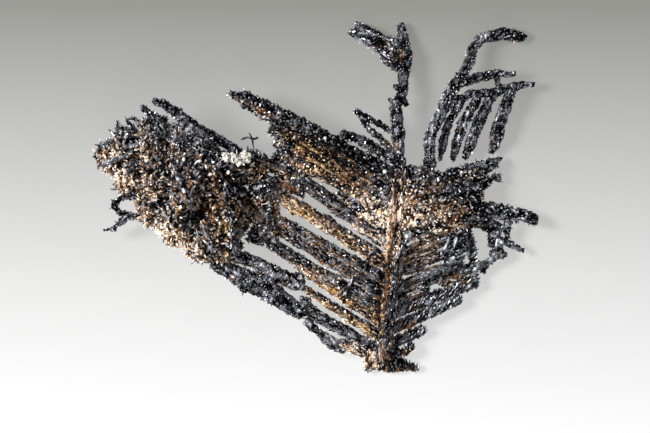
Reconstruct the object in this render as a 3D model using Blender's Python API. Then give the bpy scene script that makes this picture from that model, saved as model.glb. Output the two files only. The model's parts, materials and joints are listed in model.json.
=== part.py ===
"""Native silver specimen: a herringbone fan of crystal ribs on one central stem, with a clump of
curled leaves grown on its left end, lying flat on its back.

+X is the fan's right, +Y runs up the central stem and +Z is the side that faces up. Every branch is a
rod that follows a centre line, and the crystals that grow on it are fused to it.
"""

import math
import random

import bmesh
import bpy
from mathutils import Matrix, Vector

MM = 0.001  # the tables below are in millimetres

# Driving dimensions, in millimetres
GAP = 0.3  # clearance that parts leave to each other
RING_STEP = 4.9  # spacing of a branch's rings
RING_SHIFT = 0.12  # how far a ring wanders off its centre line
RING_SWELL = 0.14  # share by which a ring's radius varies
CRYSTAL_SIZE = (0.55, 1.0)  # smallest and largest crystal on a thick branch, centre to corner
CRYSTAL_PITCH = 7.2  # length of branch for each crystal
SHEET_CRYSTAL_PITCH = 11.0  # the same on a rod of a sheet or lattice
TWIG_CRYSTAL_PITCH = 16.0  # the same on a thin branch
CRYSTAL_LEAN = 0.5  # how far crystals lean towards the branch's tip
CRYSTAL_DEPTH = 0.85  # share of the branch's radius at which a crystal's middle lies
SPIKE_DEPTH = 0.7  # the same for the foot of a spike
SPIKE_WIDTH = 0.6  # share of its length
THIN_CRYSTAL = (0.45, 0.5)  # a crystal's share of its full size, at no radius and for each millimetre of it
CORNER_REACH = 1.8  # how much further than a face a crystal's corner moves out when the crystal grows
CROSS_RIB_PITCH = 4.0  # length of a cross rib on the clump for each crystal
LEAF_SIZE = (2.2, 3.6)  # length of a leaf on the clump
LEAF_THICKNESS = 0.5
LEAF_WIDTH = 0.55  # share of its length
LEAF_TAPER = 0.8  # share of its width that a leaf loses towards its tip
LEAF_SPREAD = 0.7  # how far a leaf leans at random
LEAF_ROOT = (0.85, 0.15)  # share of the lump's radius at which a leaf grows, and what its top adds
LEAF_COUNT = 19
LUMP_ROUGHNESS = 0.12  # share by which a lump's surface rises and falls
LUMP_WAVES = (9.0, 7.0)  # how close its rises are
BEVEL_SIDES = 1  # bevel resolution: six-sided rods
THIN_BRANCH = 0.62  # branches under this radius are four-sided

STEM_FOOT = Vector((10.1, -26.2))
STEM_LEAN = 0.106  # the stem's shift to the right for each millimetre up
LEFT_SLOPE = 31.0  # degrees: the usual angle of the left ribs
RIGHT_SLOPE = 23.0  # degrees: the usual angle of the right ribs
FLOOR_BLOCK = 200.0
FLAT_EDGE = 0.0005  # corners closer than this are one
FLAT_ANGLE = math.radians(1.0)  # faces that meet flatter than this are one

# Branches, as centre-line points (x, y, height above the floor, radius)
CENTRAL_STEM = (
    ((10.1, -26.2, 1.2, 1.3), (11.2, -18.1, 4.6, 1.1), (11.8, -8.5, 7.0, 1.3), (12.3, -3.7, 7.6, 1.4),
     (13.0, 1.1, 7.9, 1.4), (13.3, 4.0, 7.9, 1.1)),
    ((13.9, -6.6, 8.8, 0.6), (12.3, -14.9, 7.0, 0.7), (11.2, -23.7, 3.4, 0.9), (11.4, -25.8, 2.2, 1.0)),
    ((9.3, -24.5, 2.2, 1.0), (8.5, -26.2, 1.4, 0.8), (8.2, -28.0, 0.7, 0.5)),
    ((10.9, -25.3, 1.8, 1.3), (12.0, -27.5, 1.0, 0.7)),
    ((11.5, -25.8, 1.6, 0.7), (14.4, -27.2, 1.0, 0.6), (16.2, -27.8, 0.6, 0.4)),
    ((11.4, -25.1, 2.6, 0.7), (13.9, -25.0, 2.2, 0.5), (15.5, -24.0, 1.8, 0.6)),
    ((8.6, -26.9, 0.9, 0.7), (11.5, -27.4, 0.8, 0.7), (14.4, -27.4, 0.7, 0.5)),
)
UPPER_BLADE = (
    ((-13.9, 16.6, 6.0, 0.3), (-11.7, 15.7, 6.3, 1.0), (-9.1, 14.3, 6.6, 1.4), (-2.7, 10.9, 7.3, 1.5),
     (3.7, 7.5, 7.7, 1.4), (6.9, 5.9, 7.8, 1.3), (11.8, 3.4, 7.9, 1.4)),
    ((-7.2, 11.2, 6.6, 1.1), (-4.6, 9.8, 7.0, 1.4), (11.4, 1.0, 7.8, 1.3)),
    ((-6.6, 9.2, 6.4, 1.1), (-4.6, 8.1, 6.8, 1.3), (11.4, -1.0, 7.7, 1.3)),
    ((-6.2, 7.4, 6.3, 1.1), (-4.0, 6.3, 6.7, 1.4), (2.1, 3.3, 7.2, 1.2), (11.4, -2.8, 7.5, 1.3)),
    ((-7.2, 5.3, 6.2, 1.2), (-4.6, 4.5, 6.5, 1.4), (-1.4, 3.9, 6.7, 0.9)),
    ((3.7, 0.9, 7.3, 0.7), (6.2, -1.3, 7.5, 1.1), (11.0, -4.8, 7.4, 1.1)),
)
TOP_RIB = (((12.2, 6.2, 7.7, 0.8), (9.8, 7.4, 7.9, 0.8), (5.6, 9.7, 8.0, 0.85), (4.0, 10.1, 8.0, 0.6)),)
TALL_BRANCH = (
    ((13.2, 4.6, 7.7, 0.9), (13.0, 8.0, 6.7, 0.8), (12.8, 10.1, 6.0, 0.9), (12.7, 14.6, 4.5, 0.75),
     (13.9, 17.4, 3.6, 0.7), (13.9, 19.4, 3.0, 0.7), (14.2, 22.0, 2.3, 1.0), (14.1, 24.8, 1.6, 0.9),
     (13.4, 27.7, 0.9, 0.6)),
    ((12.8, 14.9, 4.5, 0.5), (11.4, 15.8, 4.2, 0.3)),
    ((13.6, 16.2, 4.0, 0.5), (14.5, 14.6, 3.8, 0.3)),
    ((13.6, 17.4, 3.6, 0.5), (12.2, 17.8, 3.4, 0.3)),
)
BRANCH_HEAD = (
    ((13.4, 24.2, 1.9, 0.6), (10.1, 25.9, 1.6, 0.6), (6.2, 27.7, 1.0, 0.5)),
    ((13.4, 22.2, 2.2, 1.0), (9.4, 24.5, 1.7, 1.0), (7.5, 25.6, 1.4, 0.8), (5.3, 26.7, 0.9, 0.5)),
    ((13.4, 20.5, 2.5, 0.6), (11.8, 21.8, 2.2, 0.8), (10.6, 22.9, 1.9, 0.6)),
)
FORKED_TWIG = (
    ((12.6, 10.1, 5.8, 0.5), (6.1, 13.8, 5.0, 0.5)),
    ((12.0, 7.6, 6.8, 0.5), (8.3, 10.9, 5.8, 0.5), (6.8, 13.2, 5.2, 0.5)),
)
FERN_STEM = (
    ((18.2, 3.6, 6.3, 0.8), (18.0, 7.8, 5.9, 0.7), (18.3, 9.9, 5.6, 0.7), (20.6, 15.4, 4.6, 0.9),
     (22.1, 17.9, 4.0, 1.0), (23.4, 19.5, 3.6, 0.9)),
)
FERN_HOOK = (
    ((23.6, 19.8, 3.5, 0.7), (24.6, 22.4, 3.1, 0.7), (25.1, 24.1, 2.8, 0.7), (26.2, 25.3, 2.4, 0.8),
     (29.8, 26.3, 1.6, 1.0), (31.7, 26.0, 1.2, 0.8), (33.6, 25.6, 0.8, 0.4)),
)
FERN_SIDE_BRANCH = (
    ((23.0, 18.3, 3.8, 0.7), (25.4, 19.0, 3.8, 0.7), (29.1, 19.8, 3.4, 0.7), (31.7, 19.8, 3.0, 0.3)),
    ((28.8, 19.5, 3.4, 0.4), (29.0, 17.4, 3.2, 0.4)),
)
FERN_COMB = (
    ((20.7, 14.5, 4.6, 0.6), (24.3, 16.5, 4.1, 0.6), (28.2, 16.8, 3.4, 0.6), (32.3, 17.8, 2.6, 0.6),
     (34.6, 18.2, 2.2, 0.2)),
    ((23.7, 16.2, 4.2, 0.6), (21.0, 11.8, 3.7, 0.6), (19.8, 7.4, 3.0, 0.6), (19.7, 5.9, 2.8, 0.2)),
    ((26.1, 16.5, 3.8, 0.6), (23.7, 12.2, 3.3, 0.7), (22.2, 8.0, 2.7, 0.7), (21.8, 5.9, 2.5, 0.3)),
    ((28.3, 16.6, 3.4, 0.7), (26.0, 12.2, 2.9, 0.8), (24.5, 7.7, 2.2, 0.7), (23.7, 6.1, 2.0, 0.3)),
    ((31.3, 17.3, 2.9, 0.7), (29.4, 12.3, 2.3, 0.9), (29.0, 9.9, 1.9, 1.0), (28.0, 6.9, 1.4, 0.3)),
)
RIGHT_WING_SPIKES = (
    ((13.4, 2.6, 7.7, 1.2), (16.5, 2.6, 6.9, 1.2), (19.7, 2.6, 5.9, 1.2), (25.3, 4.2, 3.4, 1.2),
     (27.5, 4.9, 2.3, 1.0), (29.9, 6.4, 1.0, 0.2)),
    ((13.4, 1.0, 7.8, 1.2), (20.5, 1.3, 5.7, 1.2), (26.1, 1.9, 3.0, 1.0), (29.3, 3.4, 1.6, 0.3)),
    ((13.8, 4.0, 7.2, 1.0), (18.4, 3.8, 6.2, 1.0)),
)
RIGHT_WING_TOP = ((13.2, -0.7, 7.8, 1.2), (20.5, -0.2, 5.6, 1.3), (26.2, 0.4, 3.0, 1.2))
RIGHT_WING_FOOT = ((13.0, -5.9, 7.5, 1.2), (20.5, -4.7, 5.2, 1.3), (26.0, -3.6, 2.6, 1.2))
RIGHT_WING_RODS = 4
RIGHT_HOOK_BRANCH = (
    ((26.6, -1.8, 2.4, 1.0), (29.3, -2.4, 2.6, 1.0), (33.8, -3.0, 2.6, 0.95), (35.1, -4.0, 2.2, 0.85)),
    ((26.4, -3.6, 2.0, 1.4), (28.6, -5.1, 1.4, 1.4), (28.2, -8.0, 1.0, 0.6)),
    ((30.4, -2.9, 2.4, 0.7), (30.6, -6.6, 1.8, 0.4)),
)
RIGHT_EDGE_BLADES = (
    ((29.8, -6.5, 2.0, 0.3), (29.2, -8.8, 1.7, 0.5), (27.6, -10.6, 1.6, 0.5), (25.4, -11.9, 2.0, 0.3)),
    ((29.6, -6.9, 2.0, 0.4), (31.2, -7.5, 1.9, 0.5), (33.2, -8.7, 1.6, 0.2)),
    ((27.8, -9.1, 1.5, 0.4), (29.3, -8.9, 1.6, 0.7), (30.4, -9.5, 1.4, 0.4)),
    ((27.6, -10.3, 1.6, 0.5), (26.7, -12.3, 1.3, 0.3)),
)
RIGHT_LATTICE = (
    ((12.6, -12.2, 6.4, 0.8), (19.0, -9.8, 4.6, 0.8), (23.8, -7.8, 2.8, 0.9)),
    ((12.8, -9.6, 6.9, 1.0), (19.0, -7.5, 5.0, 1.0), (24.4, -5.9, 2.8, 1.0)),
    ((17.6, -13.4, 3.6, 0.8), (20.6, -12.6, 3.0, 0.7), (22.9, -12.2, 2.4, 0.8), (25.0, -11.4, 2.0, 0.7)),
    ((20.2, -14.2, 2.5, 0.4), (25.4, -13.5, 1.5, 0.6)),
    ((24.4, -6.3, 2.7, 0.6), (25.0, -9.3, 2.2, 0.6), (25.3, -13.9, 1.4, 0.6)),
    ((20.9, -9.0, 3.7, 0.5), (20.3, -14.3, 2.5, 0.4)),
    ((22.7, -8.2, 3.2, 0.6), (23.0, -14.0, 1.8, 0.5)),
    ((22.8, -5.8, 4.0, 0.6), (21.4, -7.8, 4.5, 0.6), (20.4, -9.8, 4.6, 0.5)),
    ((24.0, -6.2, 3.4, 0.6), (22.6, -8.6, 3.7, 0.6)),
)
LOWER_CRUST = (
    ((-13.4, -9.4, 5.0, 0.9), (-10.4, -10.4, 5.4, 1.0), (-8.5, -11.4, 5.4, 1.0), (-3.6, -13.8, 4.8, 1.0),
     (-2.2, -14.1, 4.6, 0.8)),
    ((-16.6, -10.4, 4.2, 1.0), (-13.9, -12.0, 4.3, 1.3), (-9.1, -14.4, 4.4, 1.6), (-4.8, -17.0, 4.1, 1.4),
     (-2.4, -18.9, 3.8, 0.9)),
    ((-8.8, -14.2, 4.6, 1.2), (-6.6, -12.8, 5.0, 1.0)),
    ((-2.6, -11.2, 5.0, 0.7), (-2.8, -14.0, 4.7, 0.7)),
    ((-1.9, -16.4, 4.3, 0.8), (-2.0, -18.9, 4.0, 0.8)),
)
MIDDLE_CRUST = (
    ((-8.8, 1.6, 8.0, 1.8), (-9.8, -1.0, 7.4, 1.8), (-8.8, -3.4, 7.2, 1.8), (-7.8, -6.2, 6.4, 1.4)),
    ((-5.0, 1.1, 6.4, 1.0), (-7.6, 1.8, 7.0, 1.4)),
    ((-10.7, -5.9, 6.0, 1.3), (-6.6, -7.3, 6.0, 1.2)),
    ((-7.6, 2.4, 6.6, 0.9), (-4.3, 1.8, 6.5, 1.1), (-2.2, 0.5, 6.4, 0.8)),
    ((-6.8, 0.3, 6.4, 0.8), (-6.8, -3.2, 6.2, 0.8)),
)
LEFT_RAIL = (
    ((4.4, -24.9, 2.0, 0.4), (2.4, -23.7, 2.3, 0.7), (0.6, -22.1, 2.8, 0.6), (-1.8, -19.9, 3.4, 0.6)),
    ((4.2, -23.8, 2.4, 0.4), (1.2, -22.2, 2.7, 0.4)),
)
CLUMP_ROD_LONG = (
    ((-26.4, 15.2, 8.6, 0.3), (-24.6, 14.9, 8.6, 0.7), (-19.4, 11.2, 8.2, 0.7), (-11.8, 6.8, 7.6, 0.6)),
)
CLUMP_ROD_SHORT = (((-28.2, 14.6, 9.0, 0.4), (-26.6, 13.4, 9.2, 0.6), (-24.4, 11.8, 9.2, 0.6)),)
SIDE_TWIG = (
    ((-27.6, 0.0, 5.0, 0.5), (-30.1, 0.1, 4.8, 0.4), (-31.8, -0.5, 4.6, 0.4), (-32.6, -1.4, 4.4, 0.4),
     (-32.0, -2.4, 4.4, 0.4), (-30.4, -3.0, 4.4, 0.6), (-28.2, -3.0, 4.6, 0.6)),
    ((-30.2, -3.1, 4.4, 0.6), (-31.5, -4.2, 4.0, 0.5), (-32.8, -5.0, 3.6, 0.3), (-34.3, -5.4, 3.2, 0.1)),
)
CLUMP_CROSS_RIBS = (
    ((-22.6, 5.0, 13.4, 0.5), (-22.7, 1.1, 13.8, 0.6), (-22.2, -2.7, 13.0, 0.5), (-22.2, -6.2, 10.8, 0.4)),
    ((-14.2, 2.7, 12.4, 0.4), (-13.8, -1.3, 12.4, 0.4), (-13.1, -9.1, 8.6, 0.4)),
)

# Ribs, root height on the stem, slope, length, root radius, tip radius, tip height above the floor
LEFT_RIBS = (
    (-26.6, LEFT_SLOPE - 3.0, 6.8, 0.8, 0.7, 2.6),
    (-25.1, LEFT_SLOPE + 0.5, 14.8, 1.0, 0.9, 3.8),
    (-22.7, LEFT_SLOPE + 2.0, 14.9, 1.0, 0.5, 4.3),
    (-20.2, LEFT_SLOPE + 2.5, 16.4, 1.1, 0.8, 4.8),
    (-18.3, LEFT_SLOPE - 0.5, 21.3, 0.95, 0.95, 5.2),
    (-15.7, LEFT_SLOPE - 0.5, 21.3, 1.15, 0.65, 5.6),
    (-13.4, LEFT_SLOPE - 2.5, 22.0, 1.0, 0.7, 5.9),
    (-10.9, LEFT_SLOPE + 1.0, 20.6, 1.25, 0.95, 6.2),
    (-7.8, LEFT_SLOPE + 4.5, 18.6, 1.25, 1.1, 6.4),
)
GOLDEN_RIBS = (3, 4, 8)  # counted from the lowest left rib
RIGHT_RIBS = (
    (-24.3, RIGHT_SLOPE, 7.6, 0.9, 0.6, 1.4),
    (-21.8, RIGHT_SLOPE, 13.6, 0.95, 0.65, 1.5),
    (-19.1, RIGHT_SLOPE - 3.0, 15.7, 0.95, 0.8, 1.5),
    (-17.4, RIGHT_SLOPE + 2.0, 7.3, 0.85, 0.95, 4.0),
    (-15.2, RIGHT_SLOPE, 12.2, 0.7, 0.5, 4.5),
)

# The clump's lumps, centre (x, y, height above the floor) and half sizes
CLUMP_LUMPS = (
    ((-32.5, 6.4, 6.4), (2.9, 2.5, 4.6)),
    ((-30.3, 7.8, 6.4), (3.0, 3.3, 5.4)),
    ((-29.4, 3.6, 6.4), (3.1, 3.3, 5.8)),
    ((-25.7, 8.4, 6.5), (3.9, 4.4, 7.0)),
    ((-25.3, 3.3, 6.8), (4.2, 4.6, 7.3)),
    ((-25.9, -1.5, 6.0), (3.3, 3.2, 6.2)),
    ((-20.9, 7.3, 6.5), (4.0, 4.4, 6.9)),
    ((-20.2, 1.9, 7.0), (4.4, 4.8, 7.5)),
    ((-22.2, -3.9, 6.0), (3.7, 3.7, 6.3)),
    ((-17.9, -6.0, 5.6), (4.3, 4.2, 5.9)),
    ((-15.4, 3.4, 6.5), (4.4, 4.2, 6.8)),
    ((-14.4, -2.2, 6.2), (3.8, 4.8, 6.5)),
    ((-10.6, 4.9, 6.4), (3.2, 2.6, 4.8)),
    ((-14.2, -7.8, 5.2), (2.0, 2.6, 4.4)),
)
# Calcite grains beside the clump's long rod, centre and radius
CALCITE_GRAINS = (
    ((-15.4, 5.6, 12.6), 0.7),
    ((-14.4, 6.2, 12.6), 0.9),
    ((-13.3, 6.0, 12.4), 0.8),
    ((-12.3, 5.8, 12.0), 0.9),
    ((-11.4, 6.4, 11.6), 1.0),
)

TARNISHED = (0.09, 0.09, 0.10)
RUSTY = (0.22, 0.13, 0.08)
GOLDEN = (0.45, 0.32, 0.16)
BRIGHT = (0.62, 0.56, 0.50)
CALCITE = (0.80, 0.77, 0.72)


def clear_scene():
    for thing in list(bpy.data.objects):
        bpy.data.objects.remove(thing, do_unlink=True)


def new_collection(name):
    made = bpy.data.collections.new(name)
    bpy.context.scene.collection.children.link(made)
    return made


def surface(name, colour, metallic, roughness):
    """A plain material with one colour."""
    made = bpy.data.materials.new(name)
    made.use_nodes = True
    shader = made.node_tree.nodes["Principled BSDF"]
    shader.inputs["Base Color"].default_value = (*colour, 1.0)
    shader.inputs["Metallic"].default_value = metallic
    shader.inputs["Roughness"].default_value = roughness
    return made


# Shapes: each function returns a closed mesh, and grow makes it that much larger all round


def smooth_points(points, step):
    """Points about a step apart on a smooth curve through the given ones."""
    spots = [Vector(point) for point in points]
    spots = [2 * spots[0] - spots[1], *spots, 2 * spots[-1] - spots[-2]]
    path = []
    for before, start, end, after in zip(spots, spots[1:], spots[2:], spots[3:]):
        count = max(1, round((end - start).length / step))
        for index in range(count):
            t = index / count
            path.append(
                0.5 * (2 * start + (end - before) * t
                       + (2 * before - 5 * start + 4 * end - after) * t ** 2
                       + (3 * start - before - 3 * end + after) * t ** 3)
            )
    return [*path, spots[-2]]


def rod_mesh(path, grow=0.0):
    """A rod along (x, y, z, radius) points, from a bevelled curve with filled caps."""
    curve = bpy.data.curves.new("rod", "CURVE")
    curve.dimensions = "3D"
    curve.bevel_depth = MM
    curve.use_fill_caps = True
    thick = max(point[3] for point in path) > THIN_BRANCH
    curve.bevel_resolution = BEVEL_SIDES if thick else 0
    spline = curve.splines.new("POLY")
    spline.points.add(len(path) - 1)
    ends = [point.copy() for point in path]
    ends[0].xyz += (path[0].xyz - path[1].xyz).normalized() * grow
    ends[-1].xyz += (path[-1].xyz - path[-2].xyz).normalized() * grow
    for spot, point in zip(spline.points, ends):
        spot.co = (*(point.xyz * MM), 1.0)
        spot.radius = point[3] + grow
    holder = bpy.data.objects.new("rod", curve)
    bpy.context.scene.collection.objects.link(holder)
    evaluated = holder.evaluated_get(bpy.context.evaluated_depsgraph_get())
    mesh = bpy.data.meshes.new_from_object(evaluated)
    mesh.transform(holder.matrix_world)
    bpy.data.objects.remove(holder)
    bpy.data.curves.remove(curve)
    welded = bmesh.new()
    welded.from_mesh(mesh)
    bmesh.ops.remove_doubles(welded, verts=welded.verts, dist=1e-7)
    bmesh.ops.triangulate(welded, faces=welded.faces)
    bmesh.ops.recalc_face_normals(welded, faces=welded.faces)
    welded.to_mesh(mesh)
    welded.free()
    return mesh


def solid_mesh(kind, place, grow=0.0):
    """A crystal, leaf or lump of unit size, set by a matrix in millimetres whose columns are its axes."""
    sizes = place.to_scale()
    larger = Matrix.Diagonal(Vector([1.0 + CORNER_REACH * grow / size for size in sizes])).to_4x4()
    made = bmesh.new()
    if kind == "lump":
        bmesh.ops.create_icosphere(made, subdivisions=2, radius=1.0)
        for vert in made.verts:
            wave = LUMP_WAVES[0] * vert.co.x + LUMP_WAVES[1] * vert.co.y * vert.co.z
            vert.co *= 1.0 + LUMP_ROUGHNESS * math.sin(wave)
    elif kind == "octahedron":
        bmesh.ops.create_uvsphere(made, u_segments=4, v_segments=2, radius=1.0)
    elif kind == "cube":
        bmesh.ops.create_cube(made, size=1.25)
    elif kind == "spike":
        bmesh.ops.create_cone(made, cap_ends=True, segments=4, radius1=0.62, radius2=0.0, depth=2.0)
    elif kind == "leaf":
        bmesh.ops.create_cube(made, size=1.0)
        for vert in made.verts:
            vert.co.y *= 1.0 - LEAF_TAPER * (vert.co.x > 0)
    bmesh.ops.triangulate(made, faces=made.faces)
    bmesh.ops.transform(made, matrix=Matrix.Scale(MM, 4) @ place @ larger, verts=made.verts)
    bmesh.ops.recalc_face_normals(made, faces=made.faces)
    mesh = bpy.data.meshes.new(kind)
    made.to_mesh(mesh)
    made.free()
    return mesh


def shape_mesh(shape, grow=0.0):
    kind, place = shape
    return rod_mesh(place, grow) if kind == "rod" else solid_mesh(kind, place, grow)


def axes(origin, along, side, sizes):
    """A matrix at origin whose X axis runs along a direction."""
    first = along.normalized()
    third = first.cross(side).normalized()
    second = third.cross(first)
    turn = Matrix((first, second, third)).transposed().to_4x4()
    return Matrix.Translation(origin) @ turn @ Matrix.Diagonal(Vector(sizes)).to_4x4()


def random_direction(rng):
    return Vector((rng.gauss(0, 1), rng.gauss(0, 1), rng.gauss(0, 1))).normalized()


def branch_shapes(strands, rng, pitch=CRYSTAL_PITCH):
    """The rods of a branch, roughened ring by ring, and the crystals that grow on them."""
    shapes = []
    for strand in strands:
        path = smooth_points(strand, RING_STEP)
        for ring in path[1:-1]:
            ring.xyz += random_direction(rng) * RING_SHIFT
            ring.w *= 1.0 + rng.uniform(-RING_SWELL, RING_SWELL)
        shapes.append(("rod", path))
        for start, end in zip(path, path[1:]):
            spacing = pitch if min(start.w, end.w) > THIN_BRANCH else TWIG_CRYSTAL_PITCH
            count = (end.xyz - start.xyz).length / spacing
            for _ in range(int(count + rng.random())):
                shapes.append(crystal(start, end, rng))
    return shapes


def crystal(start, end, rng):
    """A crystal that stands out of the rod between two rings."""
    ring = start.lerp(end, rng.random())
    along = (end.xyz - start.xyz).normalized()
    out = random_direction(rng)
    out = (out - out.dot(along) * along).normalized()
    size = rng.uniform(*CRYSTAL_SIZE) * min(1.0, THIN_CRYSTAL[0] + THIN_CRYSTAL[1] * ring.w)
    lean = (out + CRYSTAL_LEAN * along).normalized()
    kind = rng.choice(("octahedron", "octahedron", "cube", "spike"))
    if kind == "spike":
        spot = ring.xyz + out * (ring.w * SPIKE_DEPTH + size * (1.0 - SPIKE_WIDTH))
        width = size * SPIKE_WIDTH
        place = axes(spot, random_direction(rng), lean, (width, size, width))
        place = place @ Matrix.Rotation(-math.pi / 2, 4, "X")
    else:
        spot = ring.xyz + out * ring.w * CRYSTAL_DEPTH
        place = axes(spot, random_direction(rng), lean, (size, size, size))
    return kind, place


def stem_point(height):
    """The central stem's axis at a height up the fan, as x, y and height above the floor."""
    main = smooth_points(CENTRAL_STEM[0], RING_STEP)
    below, above = next(
        (pair for pair in zip(main, main[1:]) if pair[1].y >= height), (main[-2], main[-1])
    )
    share = (height - below.y) / (above.y - below.y)
    level = below.z + (above.z - below.z) * share
    return Vector((STEM_FOOT.x + STEM_LEAN * (height - STEM_FOOT.y), height, level))


def sheet(first, last, count):
    """Rods side by side that fill the space between two of them."""
    strands = []
    for index in range(count):
        share = index / (count - 1)
        strands.append([Vector(one).lerp(Vector(other), share) for one, other in zip(first, last)])
    return tuple(strands)


def rib_strand(rib, side):
    """A rib's centre line from the stem, to the left (side -1) or to the right (side 1)."""
    root_height, slope, length, root_radius, tip_radius, tip_level = rib
    root = stem_point(root_height)
    turn = math.radians(slope)
    tip = root + Vector((side * math.cos(turn), math.sin(turn), 0.0)) * length
    tip.z = tip_level
    return (*root, root_radius), (*tip, tip_radius)


def clump_shapes(rng):
    """The leafy clump: lumps that overlap, leaves that stand out of them, and two thin cross ribs."""
    shapes = []
    for centre, sizes in CLUMP_LUMPS:
        turn = Matrix.Rotation(rng.uniform(0, math.pi), 4, random_direction(rng))
        flat = Matrix.Diagonal(Vector(sizes)).to_4x4()
        shapes.append(("lump", Matrix.Translation(Vector(centre)) @ flat @ turn))
    for index in range(LEAF_COUNT):
        centre, sizes = CLUMP_LUMPS[index % len(CLUMP_LUMPS)]
        out = random_direction(rng)
        out.z = abs(out.z) if index % 4 else out.z * 0.3
        spot = Vector(centre) + Vector(sizes) * out * (LEAF_ROOT[0] + LEAF_ROOT[1] * out.z)
        length = rng.uniform(*LEAF_SIZE)
        lean = (out + LEAF_SPREAD * random_direction(rng)).normalized()
        place = axes(spot, lean, random_direction(rng), (length, length * LEAF_WIDTH, LEAF_THICKNESS))
        shapes.append(("leaf", place))
    return shapes + branch_shapes(CLUMP_CROSS_RIBS, rng, CROSS_RIB_PITCH)


def calcite_shapes(rng):
    """Grains of white calcite, each a blunt rhomb."""
    shapes = []
    for centre, radius in CALCITE_GRAINS:
        place = axes(Vector(centre), random_direction(rng), random_direction(rng), (radius,) * 3)
        shapes.append(("cube", place))
    return shapes


# Joining and cutting


def boolean(mesh, operation, others):
    """The mesh after one exact Boolean with a collection of meshes."""
    target = bpy.data.objects.new("target", mesh)
    bpy.context.scene.collection.objects.link(target)
    tools = new_collection("tools")
    for other in others:
        tools.objects.link(bpy.data.objects.new("tool", other))
    cut = target.modifiers.new("Boolean", "BOOLEAN")
    cut.operation = operation
    cut.operand_type = "COLLECTION"
    cut.collection = tools
    cut.solver = "EXACT"
    depsgraph = bpy.context.evaluated_depsgraph_get()
    result = bpy.data.meshes.new_from_object(target.evaluated_get(depsgraph))
    for tool in list(tools.objects):
        bpy.data.objects.remove(tool)
    bpy.data.collections.remove(tools)
    bpy.data.objects.remove(target)
    return result


def mesh_box(mesh):
    spots = [vert.co for vert in mesh.vertices]
    low = Vector(min(spot[axis] for spot in spots) for axis in range(3))
    high = Vector(max(spot[axis] for spot in spots) for axis in range(3))
    return low, high


def boxes_meet(one, other):
    return all(one[0][axis] < other[1][axis] and other[0][axis] < one[1][axis] for axis in range(3))


def largest_body(mesh):
    """The mesh without the chips that a cut has parted from it, and with its flat faces whole."""
    made = bmesh.new()
    made.from_mesh(mesh)
    bmesh.ops.remove_doubles(made, verts=made.verts, dist=FLAT_EDGE * MM)
    bmesh.ops.dissolve_limit(made, angle_limit=FLAT_ANGLE, verts=made.verts, edges=made.edges)
    bmesh.ops.triangulate(made, faces=made.faces)
    bodies = []
    waiting = set(made.verts)
    while waiting:
        body = set()
        edge_of_body = [waiting.pop()]
        while edge_of_body:
            vert = edge_of_body.pop()
            body.add(vert)
            for edge in vert.link_edges:
                other = edge.other_vert(vert)
                if other in waiting:
                    waiting.discard(other)
                    edge_of_body.append(other)
        bodies.append(body)
    largest = max(bodies, key=len)
    chips = [vert for vert in made.verts if vert not in largest]
    bmesh.ops.delete(made, geom=chips, context="VERTS")
    made.to_mesh(mesh)
    made.free()
    return mesh


def floor_block():
    """The block under the floor, which wears the lowest crystals flat."""
    block = bmesh.new()
    bmesh.ops.create_cube(block, size=FLOOR_BLOCK * MM)
    bmesh.ops.translate(block, verts=block.verts, vec=(0.0, 0.0, -FLOOR_BLOCK * MM / 2))
    bmesh.ops.triangulate(block, faces=block.faces)
    mesh = bpy.data.meshes.new("floor_block")
    block.to_mesh(mesh)
    block.free()
    return mesh


def add_part(name, shapes, finish, parts, placed):
    """One object: its shapes fused, cut clear of the parts placed before it, and flat on the floor."""
    meshes = [shape_mesh(shape) for shape in shapes]
    fused = boolean(meshes[0], "UNION", meshes[1:])
    reach = mesh_box(fused)
    cutters = []
    for shape in placed:
        grown = shape_mesh(shape, GAP)
        if boxes_meet(mesh_box(grown), reach):
            cutters.append(grown)
    if reach[0].z < 0.0:
        cutters.append(floor_block())
    if cutters:
        fused = boolean(fused, "DIFFERENCE", cutters)
    made = bpy.data.objects.new(name, largest_body(fused))
    made.data.name = name
    made.data.materials.clear()
    made.data.materials.append(surface(name, *finish))
    parts.objects.link(made)
    placed.extend(shapes)
    return made


def rest_on_origin(parts):
    """Moves every part so that the origin is under the middle of the whole, on the floor."""
    boxes = [mesh_box(part.data) for part in parts.objects]
    low = Vector(min(box[0][axis] for box in boxes) for axis in range(3))
    high = Vector(max(box[1][axis] for box in boxes) for axis in range(3))
    shift = Vector((-(low.x + high.x) / 2, -(low.y + high.y) / 2, -low.z))
    for part in parts.objects:
        part.data.transform(Matrix.Translation(shift))


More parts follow.
